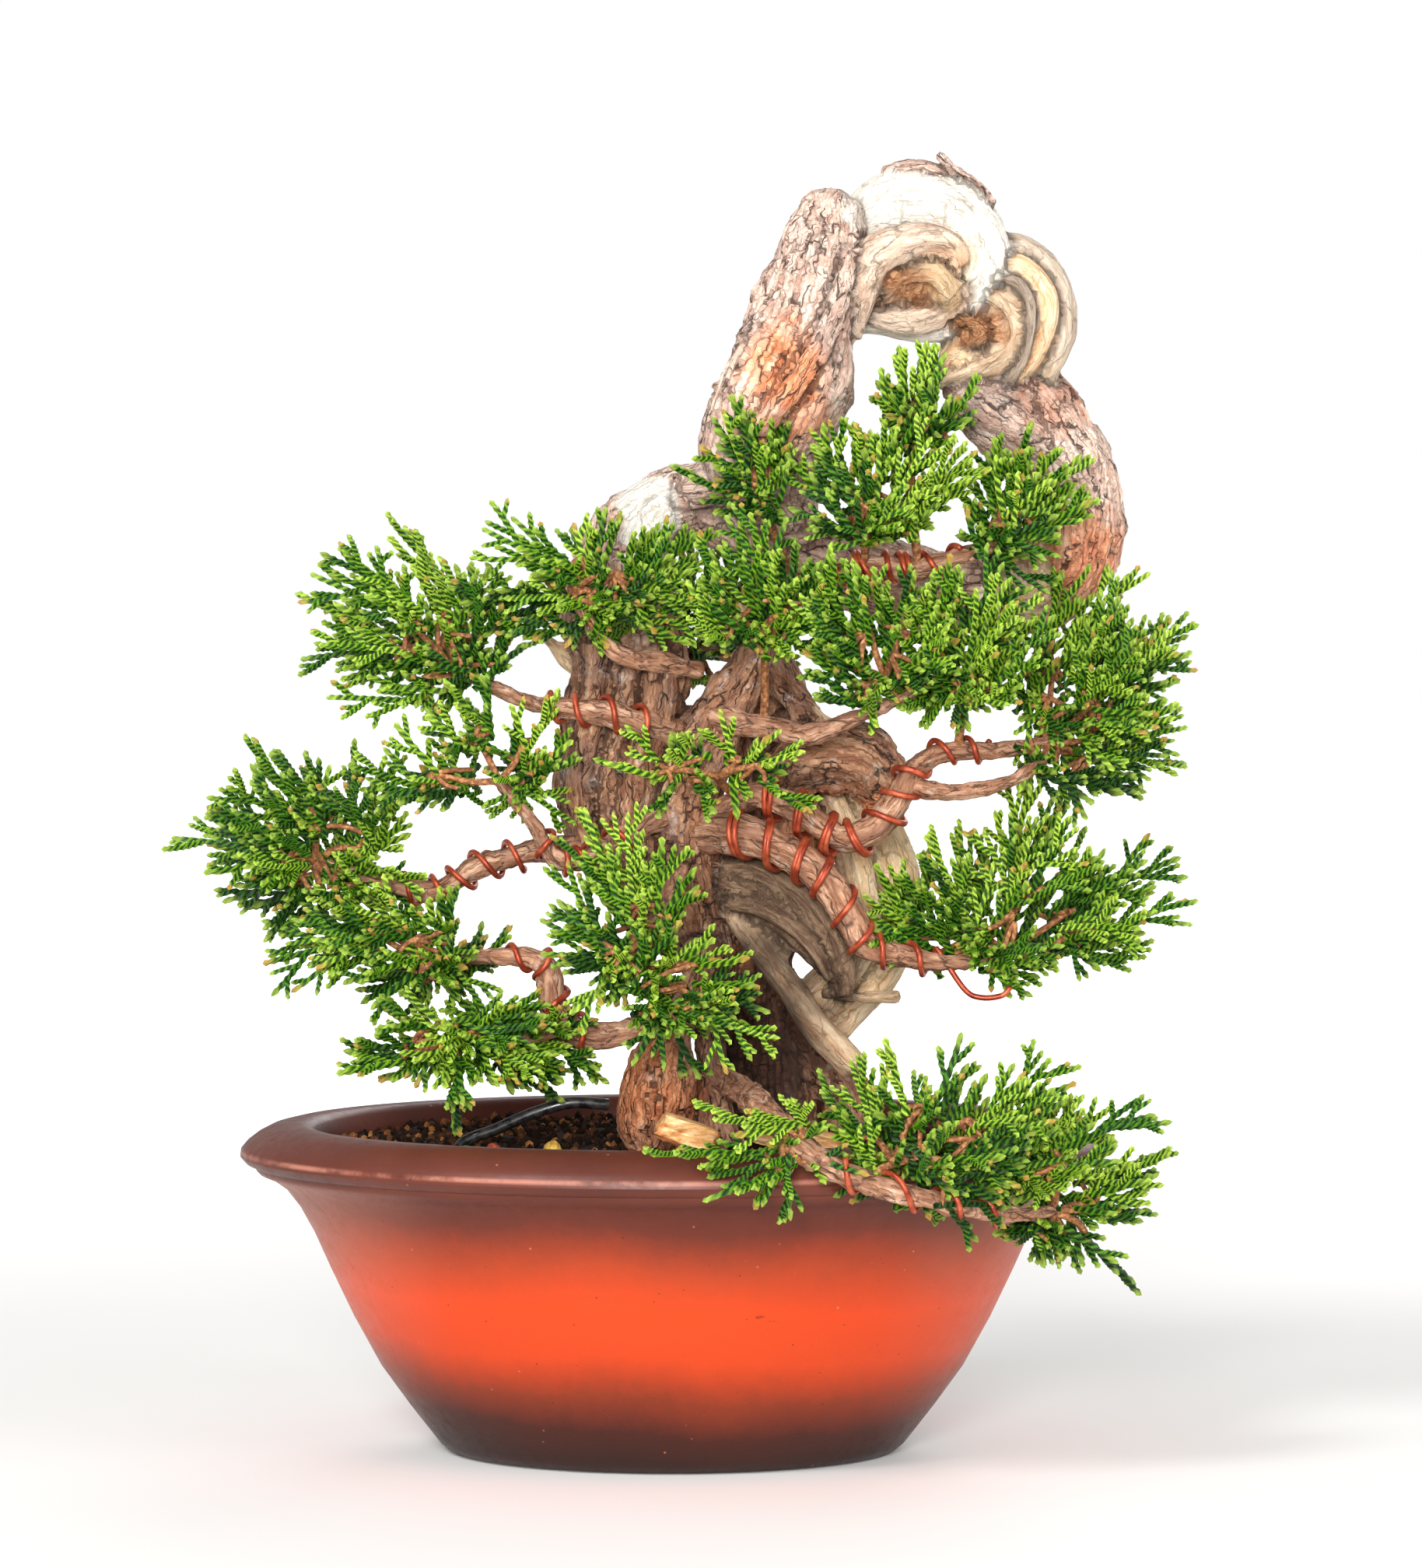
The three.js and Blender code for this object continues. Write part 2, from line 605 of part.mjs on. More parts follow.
function makeSoil() {
  const bottom = POT_FLOOR + SCREEN_THICKNESS + GAP * 2;
  const sideHeights = innerHeights.slice(1).reverse();
  const edge = soilTop - SOIL_SLOPE;
  const mound = MOUND_RINGS.map((share) => [soilRadius(edge) * share, soilTop - SOIL_SLOPE * share ** 2]);
  const floorRadius = soilRadius(bottom) - POT_FLOOR;
  const sides = sideHeights.map((z) => [soilRadius(z), z]);
  const profile = [[0, bottom], [floorRadius, bottom], ...sides, ...mound, [0, soilTop]];
  return trim(toSolid(turned(profile, POT_SIDES).scale(1, oval, 1)), [trunkBlock]);
}

function onSoil(x, y, radius) {
  return { centre: new THREE.Vector3(x, y, soilHeight(x, y) + radius + GAP) };
}

// Loose bits on the soil: place and half sizes
const CRUMBS = {
  grain_ochre: [-28, -46, [2.4, 2.2, 2.8], 0xb08a3c],
  grain_red: [-42, -42, [2.1, 2, 2.4], 0x8a3c28],
  grain_small: [-8, -52, [1.2, 1.1, 1.3], 0xa87a3a],
  grain_grey: [-58, -36, [1.7, 1.3, 1.2], 0x8c8a86],
  moss_patch: [-49, -34, [5.5, 4, 1.6], 0x55622a],
};

function makeCrumb([x, y, half]) {
  return trim(lump(onSoil(x, y, half[2]), half, 0, 1), [trunkBlock]);
}

const CHIP_TAPER = 0.35; // how much a chip thins to its ends

function chunk(x, y, [length, width, height], turn, lean) {
  const radius = Math.hypot(length, height) / 2 * Math.abs(Math.sin(lean)) + height / 2;
  const geometry = new THREE.BoxGeometry(length, width, height, 3, 2, 1);
  const position = geometry.attributes.position;
  for (let i = 0; i < position.count; i += 1) {
    const taper = 1 - CHIP_TAPER * Math.abs(position.getX(i)) / length;
    position.setY(i, position.getY(i) * taper);
    position.setZ(i, position.getZ(i) * taper);
  }
  geometry.rotateY(lean);
  geometry.rotateZ(turn);
  const { centre } = onSoil(x, y, radius);
  geometry.translate(centre.x, centre.y, centre.z);
  return trim(toSolid(geometry), [trunkBlock, rimBlock]);
}

// Chips of wood that lie on the soil: place, size, turn and lean
const CHIPS = {
  wood_chunk: [4, -44, [13, 9, 7], 0.4, 0.35],
  wood_plate_left: [25, -34, [12, 8, 3], 0.2, 0.3],
  wood_plate_right: [38, -44, [13, 9, 3], -0.3, 0.35],
};

// Black anchor wire that ties the root ball down: up out of the soil, over it and down again
const ANCHOR_POINTS = [
  [-52, -30, -4], [-50, -30, 1.5], [-42, -31, 5], [-33, -32, 9], [-24, -32, 11.5], [-15, -31, 11],
];

function makeAnchorWire() {
  const points = ANCHOR_POINTS.map(([x, y, z]) => new THREE.Vector3(x, y, soilHeight(x, y) + z));
  return {
    wire: trim(wireAlong(points, ANCHOR_RADIUS, ANCHOR_SIDES, ANCHOR_STEPS), [trunkBlock]),
    block: wireAlong(points, ANCHOR_RADIUS + PAD_GAP, ANCHOR_SIDES, ANCHOR_STEPS),
  };
}

// Assembly

const group = new THREE.Group();

function add(name, solid, color, roughness, metalness = 0) {
  const material = new THREE.MeshStandardMaterial({ color, roughness, metalness });
  const mesh = new THREE.Mesh(toGeometry(solid), material);
  mesh.name = name;
  group.add(mesh);
}

const anchor = makeAnchorWire();
const soil = trim(makeSoil(), [anchor.block]);

add('pot', makePot(), 0xa84428, 0.5);
add('drain_screen_left', makeDrainScreen(-1), 0x2a2a2c, 0.6);
add('drain_screen_right', makeDrainScreen(1), 0x2a2a2c, 0.6);
add('soil', soil, 0x2a1a10, 0.95);
add('anchor_wire', anchor.wire, 0x18181a, 0.35);
add('trunk', trunk, 0xa08068, 0.85);

const chipSolids = [];
for (const [name, chip] of Object.entries(CHIPS)) {
  const solid = trim(chunk(...chip), [...chipSolids, anchor.block, ...sleeves]);
  chipSolids.push(solid);
  add(name, solid, 0xe2b478, 0.8);
}
for (const [name, crumb] of Object.entries(CRUMBS)) {
  add(name, trim(makeCrumb(crumb), [anchor.block]), crumb[3], 0.9);
}

for (const name of branchNames) {
  add(name, makeBranch(name), 0x6b4a38, 0.85);
}
for (const [name, wire] of Object.entries(wires)) {
  add(name, wire, 0xb5482e, 0.35, 0.8);
}

const padCutters = [trunkBlock, potBlock, anchor.block, ...chipSolids, ...sleeves, ...wireBlocks];
const padBlocks = [];
for (const [name, [station, reach]] of Object.entries(PADS)) {
  add(name, trim(lump(station, reach), [...padCutters, ...padBlocks]), 0x4f8a35, 0.7);
  padBlocks.push(lump(station, reach, PAD_GAP));
}

export default group;
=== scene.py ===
# A juniper bonsai in an oval stoneware pot. Metres, +Z up, -Y is the front of the tree.
import math

import bpy
import numpy as np
from mathutils.kdtree import KDTree
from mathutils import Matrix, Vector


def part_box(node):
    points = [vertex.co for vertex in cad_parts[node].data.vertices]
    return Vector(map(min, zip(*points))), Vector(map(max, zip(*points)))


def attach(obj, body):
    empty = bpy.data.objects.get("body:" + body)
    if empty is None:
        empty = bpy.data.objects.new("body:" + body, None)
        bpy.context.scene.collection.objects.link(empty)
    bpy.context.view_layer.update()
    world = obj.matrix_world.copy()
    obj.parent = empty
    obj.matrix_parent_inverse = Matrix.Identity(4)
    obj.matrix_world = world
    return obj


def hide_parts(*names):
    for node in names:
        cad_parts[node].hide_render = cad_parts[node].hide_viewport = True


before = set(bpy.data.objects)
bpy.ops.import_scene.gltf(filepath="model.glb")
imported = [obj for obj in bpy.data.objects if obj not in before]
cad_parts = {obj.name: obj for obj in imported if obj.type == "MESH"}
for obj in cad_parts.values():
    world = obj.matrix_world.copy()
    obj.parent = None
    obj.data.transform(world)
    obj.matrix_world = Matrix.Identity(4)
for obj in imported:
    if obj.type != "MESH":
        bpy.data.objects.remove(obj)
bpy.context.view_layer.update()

MM = 0.001


def box_of(node):
    return [np.array(corner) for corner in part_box(node)]


POT_LOW, POT_HIGH = box_of("pot")
SOIL_LOW, SOIL_HIGH = box_of("soil")
SOIL_TOP = SOIL_HIGH[2]
POT_REACH = (POT_HIGH - POT_LOW) / 2
RIM_TOP = POT_HIGH[2]


# Numbers and noise

def colour(code):
    """A linear colour from a six-figure code."""
    parts = [int(code[i:i + 2], 16) / 255 for i in (0, 2, 4)]
    return [p / 12.92 if p <= 0.04045 else ((p + 0.055) / 1.055) ** 2.4 for p in parts] + [1.0]


def smooth(low, high, value):
    share = np.clip((value - low) / (high - low), 0.0, 1.0)
    return share * share * (3 - 2 * share)


def lattice(cell, seed):
    """A steady random number from -1 to 1 for each whole-number cell."""
    x, y, z = (cell[..., k].astype(np.int64) for k in range(3))
    n = (x * 73856093) ^ (y * 19349663) ^ (z * 83492791) ^ (seed * 2654435761)
    n = (n ^ (n >> 13)) * 1274126177 & 0xFFFFFFFF
    n = (n ^ (n >> 16)) * 2246822519 & 0xFFFFFFFF
    return ((n ^ (n >> 15)) & 0xFFFF) / 32767.5 - 1.0


def grainy(points, seed=0):
    """Smooth noise from -1 to 1 at each point."""
    cell = np.floor(points)
    part = points - cell
    part = part * part * (3 - 2 * part)
    total = np.zeros(points.shape[:-1])
    for corner in range(8):
        offset = np.array([corner & 1, (corner >> 1) & 1, (corner >> 2) & 1])
        weight = np.prod(np.where(offset == 1, part, 1 - part), axis=-1)
        total += weight * lattice(cell + offset, seed)
    return total


def fractal(points, octaves, seed=0):
    total = np.zeros(points.shape[:-1])
    share = 1.0
    for octave in range(octaves):
        total += share * grainy(points * 2 ** octave, seed + octave)
        share *= 0.5
    return total / (2 - 2 * 0.5 ** octaves)


# Meshes

def new_mesh(name, points, faces):
    """A mesh from points and groups of faces, each group with one number of corners."""
    mesh = bpy.data.meshes.new(name)
    corners = np.concatenate([np.asarray(group, dtype=np.int32).ravel() for group in faces])
    sizes = np.concatenate([np.full(len(group), len(group[0]), dtype=np.int32) for group in faces])
    starts = np.concatenate([[0], np.cumsum(sizes)[:-1]]).astype(np.int32)
    mesh.vertices.add(len(points))
    mesh.vertices.foreach_set("co", np.asarray(points, dtype=np.float32).ravel())
    mesh.loops.add(len(corners))
    mesh.loops.foreach_set("vertex_index", corners)
    mesh.polygons.add(len(sizes))
    mesh.polygons.foreach_set("loop_start", starts)
    mesh.update(calc_edges=True)
    mesh.validate()
    return mesh


def new_piece(name, points, faces, material, replaces=(), even=True):
    """A finished piece at the origin, riding on the one body."""
    mesh = new_mesh(name, points, faces)
    piece = bpy.data.objects.new(name, mesh)
    bpy.context.collection.objects.link(piece)
    mesh.polygons.foreach_set("use_smooth", [even] * len(mesh.polygons))
    finish_piece(piece, material, replaces)
    return piece


def finish_piece(piece, material, replaces=()):
    piece.data.materials.clear()
    piece.data.materials.append(MATERIALS[material])
    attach(piece, "root")
    if replaces:
        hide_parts(*replaces)


def paint(mesh, name, values):
    """Stores numbers on the vertices: one each, or three as a vector."""
    values = np.asarray(values, dtype=np.float32)
    if values.ndim == 1:
        layer = mesh.attributes.new(name, "FLOAT", "POINT")
        layer.data.foreach_set("value", values)
    else:
        layer = mesh.attributes.new(name, "FLOAT_VECTOR", "POINT")
        layer.data.foreach_set("vector", values.ravel())


def points_of(mesh):
    points = np.empty(len(mesh.vertices) * 3, dtype=np.float32)
    mesh.vertices.foreach_get("co", points)
    return points.reshape(-1, 3).astype(float)


def normals_of(mesh):
    normals = np.empty(len(mesh.vertices) * 3, dtype=np.float32)
    mesh.vertices.foreach_get("normal", normals)
    return normals.reshape(-1, 3).astype(float)


def move_points(mesh, points):
    mesh.vertices.foreach_set("co", points.astype(np.float32).ravel())


def unit(vectors):
    return vectors / np.maximum(np.linalg.norm(vectors, axis=-1, keepdims=True), 1e-12)


def sample_route(stations, step):
    """Rings along a smooth curve through stations of x, y, z and radius, `step` apart."""
    rows = np.asarray(stations, dtype=float)
    padded = np.vstack([2 * rows[0] - rows[1], rows, 2 * rows[-1] - rows[-2]])
    dense = []
    for i in range(1, len(padded) - 2):
        t = np.linspace(0, 1, 24, endpoint=False)[:, None]
        a, b, c, d = padded[i - 1], padded[i], padded[i + 1], padded[i + 2]
        dense.append(0.5 * (2 * b + (c - a) * t + (2 * a - 5 * b + 4 * c - d) * t ** 2
                            + (3 * b - a - 3 * c + d) * t ** 3))
    dense = np.vstack(dense + [rows[-1:]])
    run = np.concatenate([[0], np.cumsum(np.linalg.norm(np.diff(dense[:, :3], axis=0), axis=1))])
    count = max(3, int(round(run[-1] / step)) + 1)
    along = np.linspace(0, run[-1], count)
    even = np.stack([np.interp(along, run, dense[:, k]) for k in range(4)], axis=1)
    tangent = unit(np.gradient(even[:, :3], axis=0))
    normal = np.empty_like(tangent)
    current = np.array([0.0, 1.0, 0.0]) if abs(tangent[0][1]) < 0.9 else np.array([1.0, 0.0, 0.0])
    for i, direction in enumerate(tangent):
        current = unit(current - direction * current.dot(direction))
        normal[i] = current
    return {
        "centre": even[:, :3], "radius": np.maximum(even[:, 3], 1e-5), "along": along,
        "tangent": tangent, "normal": normal, "binormal": np.cross(tangent, normal),
    }


END_BULGE = 0.5  # how far a tube's end stands out, in radii


def tube_points(route, sides, swell=None):
    """Points round each ring. `swell` takes the angles and the run and gives a factor on the radius."""
    angles = np.arange(sides) / sides * 2 * math.pi
    angle, along = np.meshgrid(angles, route["along"])
    radius = route["radius"][:, None] * (1 if swell is None else swell(angle, along))
    points = (route["centre"][:, None]
              + np.cos(angle)[..., None] * radius[..., None] * route["normal"][:, None]
              + np.sin(angle)[..., None] * radius[..., None] * route["binormal"][:, None])
    return points.reshape(-1, 3), angle.ravel(), along.ravel()


def tube_faces(rings, sides):
    ring, side = np.meshgrid(np.arange(rings - 1), np.arange(sides), indexing="ij")
    here = ring * sides + side
    beside = ring * sides + (side + 1) % sides
    quads = np.stack([here, beside, beside + sides, here + sides], axis=-1).reshape(-1, 4)
    low = rings * sides
    high = low + 1
    turn = np.arange(sides)
    last = (rings - 1) * sides
    bottom = np.stack([np.full(sides, low), (turn + 1) % sides, turn], axis=-1)
    top = np.stack([np.full(sides, high), last + turn, last + (turn + 1) % sides], axis=-1)
    return quads, np.concatenate([bottom, top])


def tube(stations, sides, step, swell=None):
    """A closed tube along a route, with points, faces and where each point lies."""
    route = sample_route(stations, step)
    points, angle, along = tube_points(route, sides, swell)
    low = route["centre"][0] - route["tangent"][0] * route["radius"][0] * END_BULGE
    high = route["centre"][-1] + route["tangent"][-1] * route["radius"][-1] * END_BULGE
    points = np.vstack([points, low, high])
    angle = np.append(angle, [0, 0])
    along = np.append(along, [0, route["along"][-1]])
    radius = np.append(np.repeat(route["radius"], sides), [0, 0])
    flow = np.stack([np.cos(angle) * radius, np.sin(angle) * radius, along], axis=-1)
    quads, tris = tube_faces(len(route["centre"]), sides)
    return {"points": points, "quads": quads, "tris": tris, "flow": flow, "route": route}


def join(parts):
    """One set of points, faces and flow from several tubes."""
    start = 0
    quads, tris = [], []
    for part in parts:
        quads.append(part["quads"] + start)
        tris.append(part["tris"] + start)
        start += len(part["points"])
    return {
        "points": np.vstack([part["points"] for part in parts]),
        "faces": [np.vstack(quads), np.vstack(tris)],
        "flow": np.vstack([part["flow"] for part in parts]),
    }


# Materials

class Nodes:
    """Short ways to add nodes to a tree. A colour is given as a six-figure code."""

    tree = None

    def node(self, kind, values=None, **settings):
        made = self.tree.nodes.new("ShaderNode" + kind)
        for key, value in settings.items():
            setattr(made, key, value)
        for key, value in (values or {}).items():
            if isinstance(value, bpy.types.NodeSocket):
                self.tree.links.new(value, made.inputs[key])
            else:
                made.inputs[key].default_value = colour(value) if isinstance(value, str) else value
        return made

    def place(self):
        return self.node("TexCoord").outputs["Object"]

    def stored(self, name, output="Fac"):
        return self.node("Attribute", attribute_name=name).outputs[output]

    def scaled(self, vector, scale, move=(0, 0, 0)):
        return self.node("Mapping", {"Vector": vector, "Scale": scale, "Location": move}).outputs[0]

    def noise(self, vector, scale, detail=3.0, rough=0.55, warp=0.0):
        made = self.node("TexNoise", {
            "Vector": vector, "Scale": scale, "Detail": detail, "Roughness": rough, "Distortion": warp,
        })
        return made.outputs["Fac"]

    def cells(self, vector, scale, feature="F1"):
        made = self.node("TexVoronoi", {"Vector": vector, "Scale": scale}, feature=feature)
        return made.outputs["Distance"]

    def math(self, operation, first, second=0.0, clamp=False):
        return self.node("Math", {0: first, 1: second}, operation=operation, use_clamp=clamp).outputs[0]

    def times(self, first, second, clamp=False):
        return self.math("MULTIPLY", first, second, clamp)

    def step(self, value, low, high, to_low=0.0, to_high=1.0):
        made = self.node("MapRange", {
            "Value": value, "From Min": low, "From Max": high, "To Min": to_low, "To Max": to_high,
        }, interpolation_type="SMOOTHSTEP")
        return made.outputs["Result"]

    def mix(self, share, first, second, blend="MIX"):
        made = self.node("Mix", {0: share, 6: first, 7: second}, data_type="RGBA", blend_type=blend)
        return made.outputs[2]

    def blots(self, tone, rows):
        """Blots over a tone: the pattern that places each, where it starts and is full, and its share."""
        for value, start, full, share, code in rows:
            tone = self.mix(self.step(value, start, full, 0.0, share), tone, code)
        return tone

    def ramp(self, value, stops):
        made = self.node("ValToRGB", {"Fac": value})
        band = made.color_ramp
        while len(band.elements) < len(stops):
            band.elements.new(0.5)
        for element, (spot, code) in zip(band.elements, stops):
            element.position = spot
            element.color = colour(code)
        return made.outputs["Color"]

    def group(self, shared, **sockets):
        return self.node("Group", sockets, node_tree=shared).outputs


class Surface(Nodes):
    """A material built on the principled shader."""

    def __init__(self, name, roughness=0.7, **sockets):
        self.material = bpy.data.materials.new(name)
        self.material.use_nodes = True
        self.tree = self.material.node_tree
        self.shader = self.tree.nodes["Principled BSDF"]
        self.shader.inputs["Roughness"].default_value = roughness
        for socket, value in sockets.items():
            self.shader.inputs[socket.replace("_", " ")].default_value = value

    def feed(self, socket, value):
        self.tree.links.new(value, self.shader.inputs[socket])

    def grit(self, scale, detail=4.0, rough=0.55):
        return self.group(GRIT, Vector=self.place(), Scale=scale, Detail=detail, Roughness=rough)["Grit"]

    def bump(self, height, depth, strength=1.0):
        made = self.node("Bump", {"Height": height, "Distance": depth, "Strength": strength})
        self.feed("Normal", made.outputs[0])


class Group(Nodes):
    """An effect that several materials share: a vector and some numbers go in and values come out."""

    def __init__(self, name, numbers=()):
        self.tree = bpy.data.node_groups.new(name, "ShaderNodeTree")
        self.tree.interface.new_socket(name="Vector", in_out="INPUT", socket_type="NodeSocketVector")
        for number in numbers:
            self.tree.interface.new_socket(name=number, in_out="INPUT", socket_type="NodeSocketFloat")
        self.given = self.tree.nodes.new("NodeGroupInput").outputs
        self.way_out = self.tree.nodes.new("NodeGroupOutput")

    def give(self, name, value):
        self.tree.interface.new_socket(name=name, in_out="OUTPUT", socket_type="NodeSocketFloat")
        self.tree.links.new(value, self.way_out.inputs[name])


def wood_grain():
    """Streaks, fine fibres and broken cracks that run along a limb."""
    g = Group("wood grain")
    flow = g.given["Vector"]
    g.give("Streak", g.noise(g.scaled(flow, (1, 1, 0.2)), 620, detail=6, rough=0.68, warp=0.5))
    g.give("Fine", g.noise(g.scaled(flow, (1, 1, 0.35)), 1900, detail=4, rough=0.7))
    bent = g.node("VectorMath", {0: flow, 1: g.node("VectorMath", {
        0: g.node("TexNoise", {"Vector": flow, "Scale": 300.0, "Detail": 3.0}).outputs["Color"], 3: 0.0022,
    }, operation="SCALE").outputs[0]}, operation="ADD").outputs[0]
    plates = g.cells(g.scaled(bent, (1, 1, 0.3)), 230, feature="DISTANCE_TO_EDGE")
    slits = g.cells(g.scaled(bent, (1, 1, 0.14)), 620, feature="DISTANCE_TO_EDGE")
    broken = g.step(g.noise(flow, 200, detail=4, rough=0.7), 0.42, 0.54)
    g.give("Crack", g.math("MAXIMUM", g.times(g.step(plates, 0.0, 0.06, 1.0, 0.0), broken),
                           g.times(g.step(slits, 0.0, 0.06, 0.6, 0.0), broken)))
    return g.tree


def fine_grit():
    """The fine mottle of grit, dust or tarnish."""
    g = Group("fine grit", ("Scale", "Detail", "Roughness"))
    given = g.given
    g.give("Grit", g.noise(given["Vector"], given["Scale"], given["Detail"], given["Roughness"]))
    return g.tree


GRAIN = wood_grain()
GRIT = fine_grit()


def bark_and_deadwood():
    """Flaking bark and bare, sun-bleached wood on one grown surface."""
    s = Surface("bark and deadwood", roughness=0.85, Specular_IOR_Level=0.3)
    flow = s.stored("flow", "Vector")
    bare = s.stored("bare")
    cracks_and_painted_shade = s.stored("cracks_and_painted_shade")
    broad = s.noise(s.place(), 70, detail=4)
    middle = s.noise(s.place(), 210, detail=4)
    grain = s.group(GRAIN, Vector=flow)
    streak, fine, crack = grain["Streak"], grain["Fine"], grain["Crack"]
    height = s.node("SeparateXYZ", {"Vector": s.place()}).outputs["Z"]
    old_bark = s.ramp(streak, [
        (0.25, "4e2e20"), (0.4, "8a5c42"), (0.54, "bc8a68"), (0.72, "e2bc9a"),
    ])
    pale_bark = s.ramp(streak, [
        (0.25, "8a685a"), (0.4, "c8a290"), (0.54, "ecccb9"), (0.72, "fceddd"),
    ])
    bark = s.mix(s.step(height, 0.185, 0.235), old_bark, pale_bark)
    bark = s.blots(bark, (
        (broad, 0.45, 0.65, 0.3, "8a7672"), (middle, 0.54, 0.66, 0.4, "96624a"),
        (middle, 0.42, 0.30, 0.5, "e4d2c6"), (fine, 0.48, 0.36, 0.4, "6e4a3a"),
    ))
    fresh = s.ramp(streak, [(0.3, "c05a2a"), (0.5, "ee9462"), (0.7, "fac8a6")])
    root = s.ramp(streak, [(0.3, "6e3218"), (0.48, "bc6a3c"), (0.64, "f0a676")])
    bark = s.mix(s.stored("orange"), bark, s.mix(s.step(height, 0.11, 0.13), root, fresh))
    bark = s.mix(s.times(crack, 0.9), bark, "2a1a14")
    weathered = s.ramp(streak, [
        (0.2, "a89a88"), (0.36, "dcd2c2"), (0.5, "f2ece0"), (0.8, "fdfaf2"),
    ])
    warm = s.ramp(streak, [
        (0.2, "985a30"), (0.38, "dca674"), (0.54, "f4d0a4"), (0.8, "fdeacf"),
    ])
    old = s.ramp(streak, [
        (0.22, "38261d"), (0.42, "725644"), (0.58, "a5876a"), (0.78, "d4bb98"),
    ])
    wood = s.mix(s.stored("cream"), weathered, warm)
    wood = s.mix(s.stored("aged"), wood, old)
    wood = s.mix(s.times(s.stored("orange"), 0.85), wood, s.ramp(streak, [
        (0.25, "d89a60"), (0.45, "ffd8a6"), (0.7, "ffeccc"),
    ]))
    wood = s.mix(s.times(crack, 0.45), wood, "4a3728")
    tone = s.mix(bare, bark, wood)
    # dark bark cracks, and painted shade: the creases where limbs meet and patches where the trunk sits in
    # shadow are darkened
    tone = s.mix(s.times(cracks_and_painted_shade, 0.9, clamp=True), tone, "2a1710")
    tone = s.mix(s.stored("hollow"), tone, s.ramp(fine, [
        (0.3, "3a2014"), (0.48, "9a6038"), (0.66, "dca878"),
    ]))
    s.feed("Base Color", tone)
    s.feed("Roughness", s.step(fine, 0.2, 0.8, 0.72, 0.95))
    rough = s.math("SUBTRACT", s.math("ADD", s.times(streak, s.step(bare, 0.2, 0.8, 1.0, 0.5)),
                                      s.times(fine, 0.5)),
                   s.times(crack, s.step(bare, 0.2, 0.7, 0.7, 0.2)))
    s.bump(rough, 0.0011, 1.0)
    return s.material


def branch_bark():
    s = Surface("scaly branch bark", roughness=0.8, Specular_IOR_Level=0.3)
    grain = s.group(GRAIN, Vector=s.stored("flow", "Vector"))
    streak = grain["Streak"]
    middle = s.noise(s.place(), 260, detail=4)
    tone = s.ramp(streak, [
        (0.28, "543422"), (0.43, "8e6046"), (0.57, "bf9072"), (0.75, "e8c8ae"),
    ])
    tone = s.blots(tone, ((middle, 0.5, 0.64, 0.6, "8e6552"), (middle, 0.42, 0.3, 0.5, "cdb9a6")))
    tone = s.mix(s.times(grain["Crack"], 0.7), tone, "27160f")
    s.feed("Base Color", tone)
    s.bump(s.math("SUBTRACT", streak, s.times(grain["Crack"], 0.6)), 0.0007, 0.9)
    return s.material


def twig_bark():
    s = Surface("young twig bark", roughness=0.75)
    grit = s.grit(900, rough=0.6)
    s.feed("Base Color", s.ramp(grit, [(0.3, "4c2a17"), (0.5, "8e5830"), (0.7, "cf9660")]))
    s.bump(grit, 0.0003, 0.6)
    return s.material


def leaf_scales():
    """Scale leaves: painted shade in the grooves, a painted highlight on the keels, yellow at growing tips.
    """
    s = Surface("scale leaves", roughness=0.55, Specular_IOR_Level=0.22)
    tip = s.stored("tip")
    painted_keel_light = s.stored("painted_keel_light")
    shade = s.stored("shade")
    patch = s.noise(s.place(), 260, detail=4)
    # shade holds each spray's random tone plus painted light: sprays high in a pad are lighter, low ones
    # darker
    blend = s.math("ADD", s.times(shade, 0.75), s.times(patch, 0.3))
    green = s.ramp(blend, [
        (0.1, "224a10"), (0.32, "3f7612"), (0.54, "709c1a"), (0.78, "aac83e"),
    ])
    # painted shade in the grooves between the scales; the keels get a painted highlight
    painted_groove_shade = s.ramp(blend, [(0.2, "061a03"), (0.8, "1c4604")])
    green = s.mix(s.step(painted_keel_light, 0.15, 0.95), painted_groove_shade, green)
    green = s.mix(s.step(tip, 0.75, 1.0, 0.0, 0.45), green, "b4cf50")
    brown = s.times(s.step(tip, 0.8, 1.0), s.step(s.stored("dry"), 0.84, 0.9))
    green = s.mix(s.times(brown, 0.85), green, "a87c3c")
    s.feed("Base Color", green)
    s.bump(s.noise(s.place(), 2600, detail=2), 0.0002, 0.4)
    return s.material


LIP_LINE = (0.0675, 0.0695)  # where the band's tones end and the lip's begin
# height of the pale line along the lip's widest, rounded edge: partly wear, partly a painted highlight
WEAR_AND_HIGHLIGHT_LINE = 0.0734


